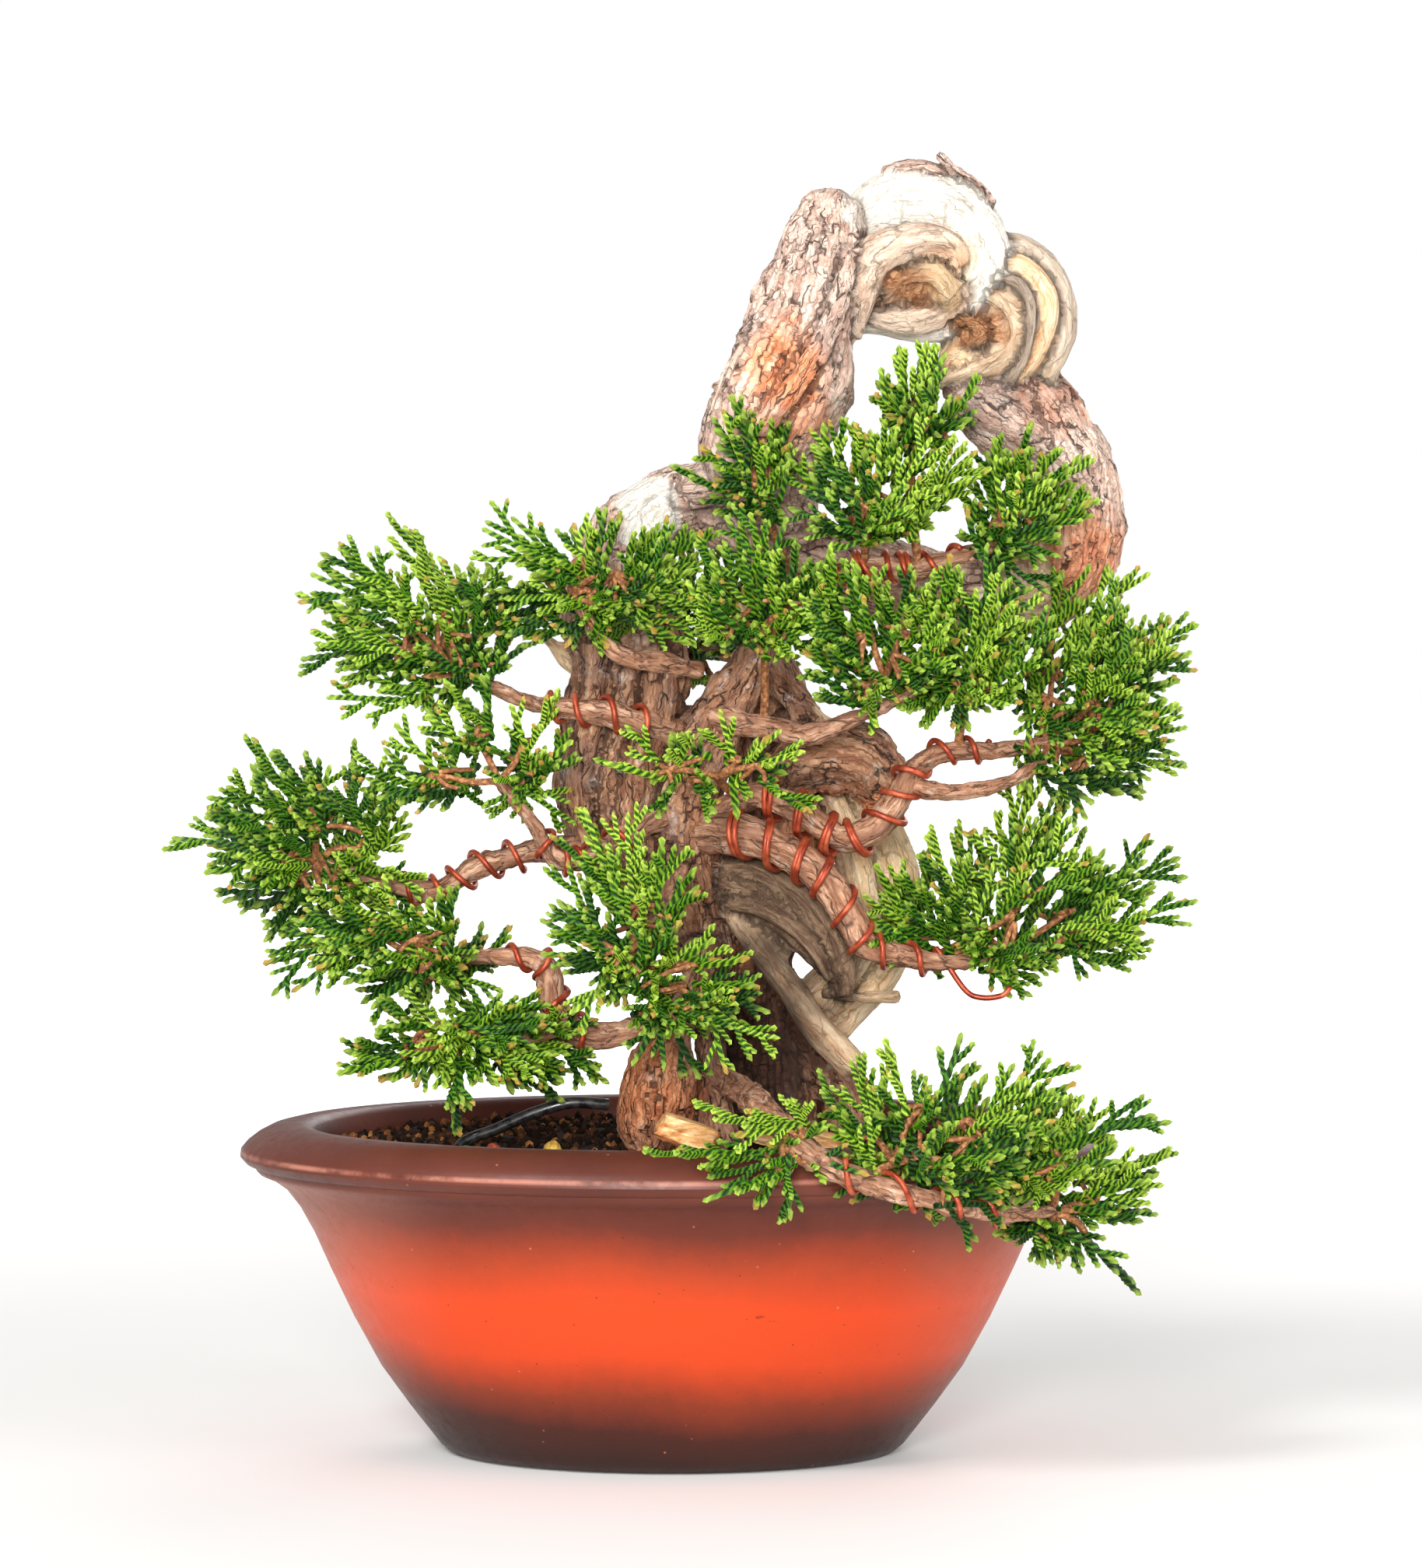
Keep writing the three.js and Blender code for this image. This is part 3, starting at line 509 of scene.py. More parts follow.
def fired_clay():
    """Unglazed stoneware: an orange-red band sprayed between a dark foot and a brown lip."""
    s = Surface("fired clay", roughness=0.5, Specular_IOR_Level=0.25, Coat_Weight=0.1, Coat_Roughness=0.35)
    place = s.place()
    split = s.node("SeparateXYZ", {"Vector": place})
    height = split.outputs["Z"]
    cloud = s.noise(place, 14, detail=5)
    mist = s.noise(place, 260, detail=4, rough=0.8)
    spray = s.math("ADD", s.times(s.math("SUBTRACT", cloud, 0.5), 0.018),
                   s.times(s.math("SUBTRACT", mist, 0.5), 0.004))
    level = s.node("MapRange", {
        "Value": s.math("ADD", height, spray), "From Min": 0.0, "From Max": RIM_TOP,
    }).outputs["Result"]
    body = s.ramp(level, [
        (0.04, "2e150e"), (0.14, "41190f"), (0.25, "7e2e14"), (0.37, "c23d10"),
        (0.52, "cc3f10"), (0.64, "a43a18"), (0.77, "642a1b"), (0.9, "4e2218"),
    ])
    # painted sheen: towards both ends of the pot the band turns pale pink, standing in for the white
    # surroundings reflected at a grazing angle
    ends = s.math("ADD", s.math("ABSOLUTE", split.outputs["X"]), s.times(spray, 1.4))
    body = s.mix(s.step(ends, 0.05, 0.1, 0.0, 0.42), body, "cc8068")
    lip = s.step(height, *LIP_LINE)
    body = s.mix(lip, body, s.ramp(cloud, [(0.3, "4e241b"), (0.7, "6c3526")]))
    # a pale line along the lip's widest edge: wear there, and a painted highlight where the rounded edge
    # catches the light
    off_line = s.math("ABSOLUTE", s.math("SUBTRACT", height, WEAR_AND_HIGHLIGHT_LINE))
    wear_and_highlight = s.times(s.step(off_line, 0.0001, 0.0009, 1.0, 0.0),
                   s.step(s.noise(place, 60, detail=6, rough=0.7), 0.36, 0.6))
    body = s.mix(s.times(wear_and_highlight, 0.7), body, "c0806c")
    speck = s.step(s.cells(place, 420), 0.06, 0.12, 1.0, 0.0)
    dark = s.times(speck, s.step(s.noise(place, 240, detail=2), 0.55, 0.62))
    body = s.mix(s.times(dark, 0.75), body, "1c1210")
    moved = s.scaled(place, (1, 1, 1), (0.3, 0.1, 0.2))
    chip = s.times(s.step(s.cells(moved, 300), 0.07, 0.13, 1.0, 0.0),
                   s.step(s.noise(place, 70, detail=1), 0.62, 0.67))
    body = s.mix(s.times(chip, 0.5), body, "c87850")
    scuff = s.step(s.noise(s.scaled(place, (0.5, 1, 1.6)), 220, detail=6, rough=0.7), 0.64, 0.7)
    scuff = s.times(scuff, s.step(s.noise(place, 22, detail=2), 0.5, 0.62))
    body = s.mix(s.times(scuff, 0.65), body, "5a2014")
    s.feed("Base Color", body)
    s.feed("Roughness", s.step(s.math("ADD", mist, s.times(scuff, 0.3)), 0.3, 0.9, 0.36, 0.62))
    s.bump(s.math("SUBTRACT", s.noise(place, 900, detail=4), s.times(chip, 0.8)), 0.0002, 0.35)
    return s.material


def earthy(name, stops, scale, depth, roughness=0.95):
    """A rough mineral or earthy surface in a few tones."""
    s = Surface(name, roughness=roughness, Specular_IOR_Level=0.1)
    grit = s.grit(scale, 5.0, 0.7)
    s.feed("Base Color", s.ramp(grit, stops))
    s.bump(grit, depth, 0.8)
    return s.material


def crumb_mix():
    """Soil crumbs, each with a tone of its own."""
    s = Surface("soil crumbs", roughness=0.95, Specular_IOR_Level=0.1)
    grit = s.grit(1500, 3.0)
    tone = s.ramp(s.stored("shade"), [
        (0.0, "140c08"), (0.45, "2b1a10"), (0.7, "4f2f1b"), (0.86, "7a4a2a"),
        (0.97, "a8703c"),
    ])
    s.feed("Base Color", s.mix(s.step(grit, 0.3, 0.7, 0.5, 0.0), tone, "0e0805"))
    s.bump(grit, 0.0003, 0.7)
    return s.material


def copper_wire():
    s = Surface("annealed copper wire", roughness=0.38, Metallic=0.5)
    tarnish = s.grit(300)
    s.feed("Base Color", s.ramp(tarnish, [
        (0.3, "7a2c1e"), (0.5, "a84428"), (0.7, "cf6c48"),
    ]))
    s.feed("Roughness", s.step(tarnish, 0.3, 0.7, 0.3, 0.5))
    s.bump(s.noise(s.place(), 1500, detail=2), 0.0001, 0.3)
    return s.material


def black_plastic(name, roughness):
    s = Surface(name, roughness=roughness)
    dust = s.grit(400)
    s.feed("Base Color", s.ramp(dust, [(0.4, "121214"), (0.75, "3a3532")]))
    s.feed("Roughness", s.step(dust, 0.3, 0.8, roughness - 0.08, roughness + 0.2))
    s.bump(dust, 0.0001, 0.3)
    return s.material


def split_wood():
    s = Surface("split wood", roughness=0.75)
    fibre = s.noise(s.scaled(s.place(), (0.25, 1, 1)), 900, detail=4, warp=0.3)
    broad = s.noise(s.place(), 120, detail=2)
    tone = s.ramp(fibre, [(0.3, "9c5a26"), (0.5, "dca668"), (0.7, "f2d8a6")])
    s.feed("Base Color", s.mix(s.step(broad, 0.5, 0.65, 0.0, 0.6), tone, "c8682c"))
    s.bump(fibre, 0.0004, 0.8)
    return s.material


MATERIALS = {
    "clay": fired_clay(),
    "wood": bark_and_deadwood(),
    "branch": branch_bark(),
    "twig": twig_bark(),
    "leaf": leaf_scales(),
    "soil": earthy("dark soil", [(0.35, "0d0805"), (0.55, "24160d"), (0.75, "4a2d1a")], 500, 0.001),
    "crumb": crumb_mix(),
    "copper": copper_wire(),
    "tube": black_plastic("black tube", 0.3),
    "mesh": black_plastic("black mesh", 0.6),
    "split": split_wood(),
    "ochre": earthy("ochre grain", [(0.3, "6b4a1c"), (0.55, "b08a3c"), (0.75, "d8b868")], 700, 0.0004),
    "red": earthy("red grain", [(0.3, "4a1c12"), (0.55, "8a3c28"), (0.75, "b06040")], 700, 0.0004),
    "grey": earthy("grey pellet", [(0.3, "5c5a56"), (0.55, "8c8a86"), (0.75, "b4b0a8")], 700, 0.0003),
    "moss": earthy("moss", [(0.3, "2c3a12"), (0.5, "55702a"), (0.7, "8aa040")], 900, 0.0006),
}


# Places in the tree are in millimetres from the soil at the middle of the pot.

def tree(*stations):
    rows = np.array(stations, dtype=float) * MM
    rows[:, 2] += SOIL_TOP
    return rows


def over_rim(along_length, along_width, rise, radius):
    """A station placed by the pot's rim: shares of its half length and half width, and a rise above it."""
    across = np.array([along_length, along_width]) * POT_REACH[:2] / MM
    return (*across, (RIM_TOP - SOIL_TOP) / MM + rise, radius)


# Pot

# The wall's outline, up the outside and down the inside, in shares of the half length and the height
POT_OUTLINE = [
    (0.49, 0.0), (0.52, 0.006), (0.54, 0.028), (0.552, 0.048), (0.61, 0.146), (0.676, 0.266),
    (0.737, 0.412), (0.79, 0.558), (0.829, 0.672), (0.862, 0.75), (0.895, 0.806), (0.93, 0.838),
    (0.957, 0.852), (0.963, 0.86), (0.966, 0.872), (0.974, 0.876), (0.988, 0.884), (1.0, 0.902),
    (0.998, 0.922), (0.984, 0.944), (0.96, 0.968), (0.93, 0.988), (0.895, 0.999), (0.862, 1.0),
    (0.84, 0.994), (0.829, 0.978), (0.824, 0.94), (0.81, 0.82), (0.785, 0.7), (0.73, 0.5),
    (0.66, 0.33), (0.58, 0.19), (0.5, 0.13), (0.44, 0.115),
]
DRAIN_SPACING = 56 * MM
DRAIN_RADIUS = 7 * MM


def drill(piece, holes):
    """Cuts round holes through a piece."""
    for x, depth in holes:
        bpy.ops.object.select_all(action="DESELECT")
        bpy.ops.mesh.primitive_cylinder_add(
            vertices=32, radius=DRAIN_RADIUS, depth=depth, location=(x, 0, 0),
        )
        cutter = bpy.context.object
        bpy.ops.object.transform_apply()
        cut = piece.modifiers.new("hole", "BOOLEAN")
        cut.operation = "DIFFERENCE"
        cut.solver = "EXACT"
        cut.object = cutter
        apply_modifiers(piece)
        bpy.data.objects.remove(cutter, do_unlink=True)


def apply_modifiers(piece):
    bpy.ops.object.select_all(action="DESELECT")
    piece.select_set(True)
    bpy.context.view_layer.objects.active = piece
    for modifier in list(piece.modifiers):
        bpy.ops.object.modifier_apply(modifier=modifier.name)


def make_pot():
    """The bowl is drawn up ring by ring from its foot, over the lip and down inside."""
    bpy.ops.object.select_all(action="DESELECT")
    first = POT_OUTLINE[0][0] * POT_REACH[0]
    bpy.ops.mesh.primitive_circle_add(vertices=160, radius=first, fill_type="NGON", location=(0, 0, 0))
    piece = bpy.context.object
    piece.name = "stoneware_pot"
    bpy.ops.object.mode_set(mode="EDIT")
    bpy.ops.mesh.select_all(action="SELECT")
    bpy.ops.mesh.inset(thickness=first * 0.3)
    bpy.ops.mesh.select_all(action="INVERT")
    bpy.ops.object.mode_set(mode="OBJECT")
    rim = [edge for edge in piece.data.edges
           if all(math.hypot(*piece.data.vertices[v].co[:2]) > first * 0.99 for v in edge.vertices)]
    for part in (piece.data.vertices, piece.data.edges, piece.data.polygons):
        part.foreach_set("select", [False] * len(part))
    for edge in rim:
        edge.select = True
    bpy.ops.object.mode_set(mode="EDIT")
    bpy.ops.mesh.select_mode(type="EDGE")
    radius, height = POT_OUTLINE[0]
    for next_radius, next_height in POT_OUTLINE[1:]:
        rise = (next_height - height) * RIM_TOP
        bpy.ops.mesh.extrude_edges_move(TRANSFORM_OT_translate={"value": (0, 0, rise)})
        grow = next_radius / radius
        bpy.ops.transform.resize(value=(grow, grow, 1), center_override=(0, 0, next_height * RIM_TOP))
        radius, height = next_radius, next_height
    bpy.ops.mesh.edge_face_add()
    bpy.ops.mesh.inset(thickness=radius * POT_REACH[0] * 0.4)
    bpy.ops.mesh.select_all(action="SELECT")
    bpy.ops.transform.resize(value=(1, POT_REACH[1] / POT_REACH[0], 1), center_override=(0, 0, 0))
    bpy.ops.mesh.normals_make_consistent(inside=False)
    bpy.ops.object.mode_set(mode="OBJECT")
    drill(piece, [(side * DRAIN_SPACING / 2, RIM_TOP / 2) for side in (-1, 1)])
    bpy.ops.object.shade_smooth_by_angle(angle=math.radians(40))
    finish_piece(piece, "clay", ["pot"])


def make_screen(node):
    """A square-mesh screen over a drain hole, woven from short bars in a round frame."""
    low, high = box_of(node)
    centre = (low + high) / 2
    reach = (high[0] - low[0]) / 2
    thick = (high[2] - low[2]) / 2
    parts = []
    spots = np.linspace(-0.8, 0.8, 9) * reach
    for spot in spots:
        half = math.sqrt(reach ** 2 - spot ** 2)
        for across in (0, 1):
            ends = [[0.0, 0.0, 0.0, thick * 0.5], [0.0, 0.0, 0.0, thick * 0.5]]
            ends[0][across], ends[1][across] = -half, half
            for end in ends:
                end[1 - across] = spot
                end[2] = thick * 0.4 * (1 if across else -1)
            parts.append(tube(ends, 6, half))
    turn = np.linspace(0, 2 * math.pi, 33)
    ring = np.stack([np.cos(turn) * reach * 0.95, np.sin(turn) * reach * 0.95, turn * 0,
                     turn * 0 + thick * 0.9], axis=1)
    parts.append(tube(ring, 8, reach / 5))
    whole = join(parts)
    new_piece(node + "_weave", whole["points"] + centre, whole["faces"], "mesh", [node])


# Trunk

BARK_SIDES = 48
BARK_STEP = 1.0 * MM
WOOD_VOXEL = 0.8 * MM
WOOD_SHARE = 0.62  # faces kept once the bark is carved

# Tones of wood: how bare it is, how cream, and how aged
BARK = (0, 0, 0)
WHITE = (1, 0.05, 0)
CREAM = (1, 0.9, 0)
AGED = (1, 0.3, 1)
SILVER = (1, 0.35, 0.45)

# Each limb: how fast its flutes twist, how deep they are, its tone, and stations of x, y, z and radius
LIMBS = {
    "column": (26, 0.10, BARK, [
        (22, 5, -8, 15.5), (22, 8, 13, 13.5), (22, 12, 28, 11.4), (16, 14, 43, 11.8), (4, 12, 56, 12.5),
        (-8, 6, 70, 12.9), (-15, 0, 85, 12.8), (-13, -2, 100, 13.5), (-10, 0, 114, 14),
        (-13, 6, 129, 12.5), (-11, 12, 143, 11), (-3, 16, 153, 9.5), (9, 18, 154, 8.6),
        (27, 20, 144, 8.6), (45, 18, 138, 9.2), (65, 16, 132, 9.5), (86, 14, 131, 10),
    ]),
    "right_column": (20, 0.10, BARK, [
        (78, 14, 131, 9.5), (91, 12, 134, 10.5), (97, 8, 144, 11.4), (97, 5, 157, 11.5),
        (91, 4, 170, 10.5), (84, 5, 182, 9.5), (84, 8, 193, 9), (82, 6, 204, 8), (74, 2, 211, 8),
    ]),
    "spiral": (30, 0.12, BARK, [
        (94, 3, 166, 8), (80, -2, 175, 8), (70, -2, 182, 6),
    ]),
    "leg": (18, 0.09, BARK, [
        (40, -12, 227, 6.4), (37.5, -12, 219, 9.4), (35, -12, 208, 11.4), (31, -12, 195, 13.2),
        (25.5, -12, 182, 15.2), (22, -8, 171, 14), (22, 2, 161, 11), (28, 12, 152, 8),
    ]),
    "disc": (10, 0.05, WHITE, [
        (42, -3, 214, 6), (46, -3, 222, 7), (54, -3, 226.5, 8.2), (64, -3, 226.5, 8.8),
        (72, -2, 220.5, 9), (74.5, -1, 211, 9), (70, -2, 202.5, 8.6), (61, -4, 199, 6.4),
        (50, -4, 198.5, 4.8), (42, -5, 199, 5),
    ]),
    "disc_web": (0, 0.03, AGED, [
        (50, 2, 212, 9), (60, 3, 212, 10), (70, 4, 209, 9),
    ]),
    "shard": (0, 0.1, BARK, [
        (78, -4, 226, 1.4), (74, -5, 230.5, 2.0), (69, -6, 234, 2.2), (64.5, -6, 238, 1.2),
    ]),
    "curl": (16, 0.08, (0.6, 0.55, 0.35), [
        (43, -13, 194, 3.4), (44, -14, 203, 5.4), (47.5, -15, 211.5, 6), (54, -17, 216, 5.4),
        (61, -17.5, 217.6, 4.8), (66.5, -16.5, 216, 4.2), (68.6, -14, 212, 3.2),
    ]),
    "curl_fill": (0, 0.16, AGED, [
        (50, -11, 205, 5), (56, -12.5, 208, 6), (62, -13, 209, 6), (66, -11, 204, 5.4),
    ]),
    "lower_lip": (12, 0.06, (0.7, 0.5, 0.3), [
        (46, -10, 200, 3), (51, -11, 198.5, 3.6), (57, -11.5, 198, 4.4), (63, -10.5, 199.6, 4.6),
        (69, -8, 204, 4.4),
    ]),
    "under_roll": (30, 0.10, CREAM, [
        (74, 0, 206, 6), (76, -2, 199, 6), (72, -4, 191, 6), (66, -4, 187, 4),
    ]),
    "old_trunk": (14, 0.14, CREAM, [
        (25, 12, 20, 9.5), (38, 13, 32, 9.5), (49, 14, 46, 11), (51, 14, 61, 10.5), (47, 14, 75, 9.5),
        (40, 14, 89, 9.5), (29, 14, 103, 8), (19, 12, 119, 6.8), (10, 14, 133, 6),
    ]),
    "inner_wood": (16, 0.12, BARK, [
        (14, 10, 26, 10), (22, 12, 50, 11), (27, 12, 76, 11), (20, 12, 100, 9),
    ]),
    "live_limb": (30, 0.10, BARK, [
        (10, 8, 44, 9), (6, -1, 61, 9), (3, -6, 76, 9), (5, -8, 89, 8.4), (11, -8, 101, 7.1),
        (17, -8, 111, 5.6), (22, -6, 121, 4.5),
    ]),
    "mauve_limb": (20, 0.08, BARK, [
        (24, 4, 84, 6), (34, -1, 92, 8.4), (45, -3, 92, 8.6), (53, 0, 84, 6.4),
    ]),
    "bulb_root": (12, 0.10, BARK, [
        (8, 0, 48, 5), (6, -12, 38, 3.6), (1, -19, 28, 4.2), (-2.4, -24, 19, 8.2), (-4, -26, 10, 9.6),
        (-4, -26, 0, 6),
    ]),
    "front_root": (20, 0.10, BARK, [
        (10, 0, 40, 5.6), (9, -16, 26, 3.6), (10, -20, 12, 4), (12, -20, -4, 6),
    ]),
    "dead_mass": (34, 0.14, AGED, [
        (8, 2, 63, 6), (19, -8, 63, 7.6), (31, -14, 56, 8.4), (39, -15, 46, 6.4), (42, -13, 36, 3.4),
    ]),
    "dead_mass_fold": (20, 0.12, AGED, [
        (12, -6, 66, 3), (22, -15, 66, 3.4), (33, -20, 58, 3.6), (40, -19, 46, 3),
    ]),
    "dead_mass_rib": (20, 0.12, AGED, [
        (14, -8, 58, 3), (24, -18, 56, 3.2), (33, -21, 49, 3), (38, -18, 40, 2.4),
    ]),
    "dead_stick": (4, 0.06, (1, 0.9, 0.45), [
        (15, -6, 55, 3.8), (26, -17, 41, 4.2), (34, -22, 30, 4.4), (44, -25, 19, 4.1),
    ]),
    "cut_stub": (4, 0.05, (1, 0.9, 0.4), [
        (36, -12, 37, 2.6), (44, -13, 35.5, 2.4), (55, -14, 35.5, 2.3),
    ]),
    "spur": (4, 0.10, CREAM, [
        (-16, 4, 112, 5), (-25, 4, 116, 3.2), (-30, 3, 121, 2), (-36, 2, 124, 1),
    ]),
    "right_root": (12, 0.10, BARK, [
        (30, 10, 26, 7), (40, 6, 12, 6), (48, 2, -3, 5.5),
    ]),
    "back_root": (12, 0.10, BARK, [
        (16, 18, 22, 7), (8, 30, 8, 6), (4, 36, -5, 5),
    ]),
    # Layers that wind round the spiral, one inside the other
    "outer_layer": (6, 0.06, SILVER, [
        (79, 1, 217.5, 4), (85, 0, 216, 4), (90.6, -1, 211.5, 4), (94.2, -1, 204, 4), (94.6, -1, 195, 4),
        (91, 0, 186, 3.6), (86, 3, 178, 3),
    ]),
    "second_layer": (6, 0.06, CREAM, [
        (79, -3, 212.6, 3.6), (85, -4, 210.8, 3.8), (89.4, -5, 204.6, 3.9), (89.6, -5, 196.5, 3.9),
        (86, -3, 188, 3.4), (81, 0, 180, 3),
    ]),
    "grey_layer": (6, 0.05, (1, 0.1, 0.75), [
        (79, -7, 208.4, 1.8), (83.4, -8.6, 207.2, 1.9), (86, -9.4, 202, 2), (86, -9.4, 194, 2),
        (83, -7, 186, 2), (78, -3, 180, 2),
    ]),
    "third_layer": (6, 0.10, (1, 0.75, 0.3), [
        (72, -4, 204.6, 3.6), (78, -6, 203, 4), (82, -6, 197, 4), (79.4, -6, 190, 4.4),
        (72, -5, 186.6, 4.6), (64, -4, 184, 4.4),
    ]),
    "inner_layer": (6, 0.08, AGED, [
        (68, -7, 198, 3), (73, -9, 198, 3.2), (75.6, -9.6, 195, 3), (72, -8, 193, 3),
    ]),
    "crown_ridge": (6, 0.12, BARK, [
        (42, -19, 214, 2.4), (39.5, -22, 203, 3), (35, -24, 192, 3.4), (28.5, -26, 181, 3.4),
        (22, -22, 172, 3),
    ]),
    "crown_knot": (6, 0.16, BARK, [
        (24.5, -14, 196, 4.2), (18, -12, 188, 4.6), (12, -10, 180, 4),
    ]),
    "arch_lobe": (12, 0.10, BARK, [
        (4, 8, 158, 5), (12, 10, 159, 6), (18, 11, 153, 6), (23, 12, 146, 5),
    ]),
    "column_ridge": (6, 0.12, BARK, [
        (-20, -8, 70, 3), (-22, -9, 86, 4), (-19, -12, 100, 4.4), (-18, -10, 112, 4.4),
        (-17, -4, 124, 3.4),
    ]),
    "column_vein": (6, 0.12, BARK, [
        (-6, -7, 62, 3), (-9, -12, 76, 4), (-8, -13, 92, 4.2), (-4, -14, 104, 4.4), (-3, -12, 116, 4),
    ]),
    "old_vein": (6, 0.14, CREAM, [
        (40, 4, 34, 3), (47, 3, 48, 4), (46, 3, 62, 4), (42, 4, 76, 3.4), (36, 5, 92, 3),
    ]),
}

# Patches of wood that is bare, barked, cream, orange or hollow, and patches of painted shade: centre, half
# sizes and strength
BARE_PATCHES = [
    ((-6, 4, 153), (8, 16, 17), 1.0), ((84, 0, 128), (9, 14, 16), 0.9), ((12, -10, 190), (4, 14, 9), 1.0),
    ((44, -14, 224), (4, 12, 6), 0.5),
]
BARK_PATCHES = [
    ((60, -6, 236.5), (10, 8, 3.4), 1.0), ((28, 14, 112), (12, 20, 14), 1.0),
    ((24, 12, 24), (12, 20, 12), 1.0),
]
CREAM_PATCHES = [
    ((84, 0, 128), (12, 14, 18), 0.8), ((12, -14, 188), (8, 12, 14), 0.5),
    ((66, -16, 214), (8, 12, 8), 0.6),
]
ORANGE_PATCHES = [
    ((26, -26, 186), (9, 14, 12), 0.9), ((98, 0, 140), (13, 16, 12), 0.7),
    ((28, -24, 172), (12, 8, 9), 0.6), ((-4, -26, 12), (12, 12, 14), 0.75),
    ((92, -4, 180), (10, 10, 9), 0.3), ((20, -2, 30), (10, 20, 16), 0.4),
    ((66, -14, 208), (7, 10, 9), 0.6), ((50, 4, 62), (18, 16, 36), 1.0),
]
HOLLOW_PATCHES = [
    ((57, -11, 206.5), (8.5, 9, 5.2), 0.75), ((73.5, -9, 196.6), (7.4, 7, 5), 0.8),
    ((33, -6, 40), (10, 8, 7), 0.5),
]
PAINTED_SHADE_PATCHES = [
    ((24, -10, 27), (19, 20, 26), 1.0), ((-1, -16, 62), (7, 8, 10), 0.6),
    ((-7, -8, 114), (15, 16, 13), 0.3), ((28, -18, 56), (20, 10, 14), 0.3),
    ((84, -4, 180), (16, 14, 7), 0.3), ((36, -14, 84), (12, 8, 6), 0.3),
    ((32, -16, 33), (12, 10, 7), 0.6),
]


def patch_mask(points, patches, sharp, ragged, seed):
    """From 0 to 1 inside soft ragged ellipsoids."""
    rough = fractal(points / (5 * MM), 4, seed) * ragged
    mask = np.zeros(len(points))
    for centre, reach, strength in patches:
        away = np.linalg.norm((points - tree(centre)[0]) / (np.array(reach) * MM), axis=1)
        mask = np.maximum(mask, strength * smooth(1.0 + sharp, 1.0 - sharp, away + rough))
    return mask


def along_grain(flow, across, along, seed):
    """Noise drawn out along a limb, with its size across and along in millimetres."""
    return fractal(flow / np.array([across * MM, across * MM, along * MM]), 3, seed)


def fluted(depth, twist, seed):
    """Uneven flutes that wind round a limb."""
    lean = twist * 0.6

    def swell(angle, along):
        turn = angle + along * lean
        waver = grainy(np.stack([np.cos(angle), np.sin(angle), along / (14 * MM)], axis=-1), seed)
        ripple = (np.cos(2 * turn + seed) * 0.9 + np.cos(3 * turn + 1.7 * seed) * 0.8
                  + np.cos(5 * turn + seed) * 0.5)
        return 1 + depth * (ripple * 0.6 + waver * 1.4)

    return swell


def nearest_limbs(points):
    """For each point, the limb whose skin is nearest, and how sharp a crease it makes with the next."""
    best = np.full(len(points), 1.0)
    second = best.copy()
    owner = np.zeros(len(points), dtype=int)
    outward = np.zeros_like(points)
    across = np.zeros_like(points)
    for number, (_, _, _, stations) in enumerate(LIMBS.values()):
        route = sample_route(tree(*stations), 1.5 * MM)
        away = np.linalg.norm(points[:, None, :] - route["centre"][None], axis=2) - route["radius"][None]
        spot = away.argmin(axis=1)
        gap = away[np.arange(len(points)), spot]
        direction = unit(points - route["centre"][spot])
        closer = gap < best
        runner_up = ~closer & (gap < second)
        second[closer], across[closer] = best[closer], outward[closer]
        best[closer], outward[closer], owner[closer] = gap[closer], direction[closer], number
        second[runner_up], across[runner_up] = gap[runner_up], direction[runner_up]
    angle = (outward * across).sum(axis=1)
    crease = smooth(1.5 * MM, 0.1 * MM, second - best) * smooth(0.9, 0.45, angle)
    return owner, crease


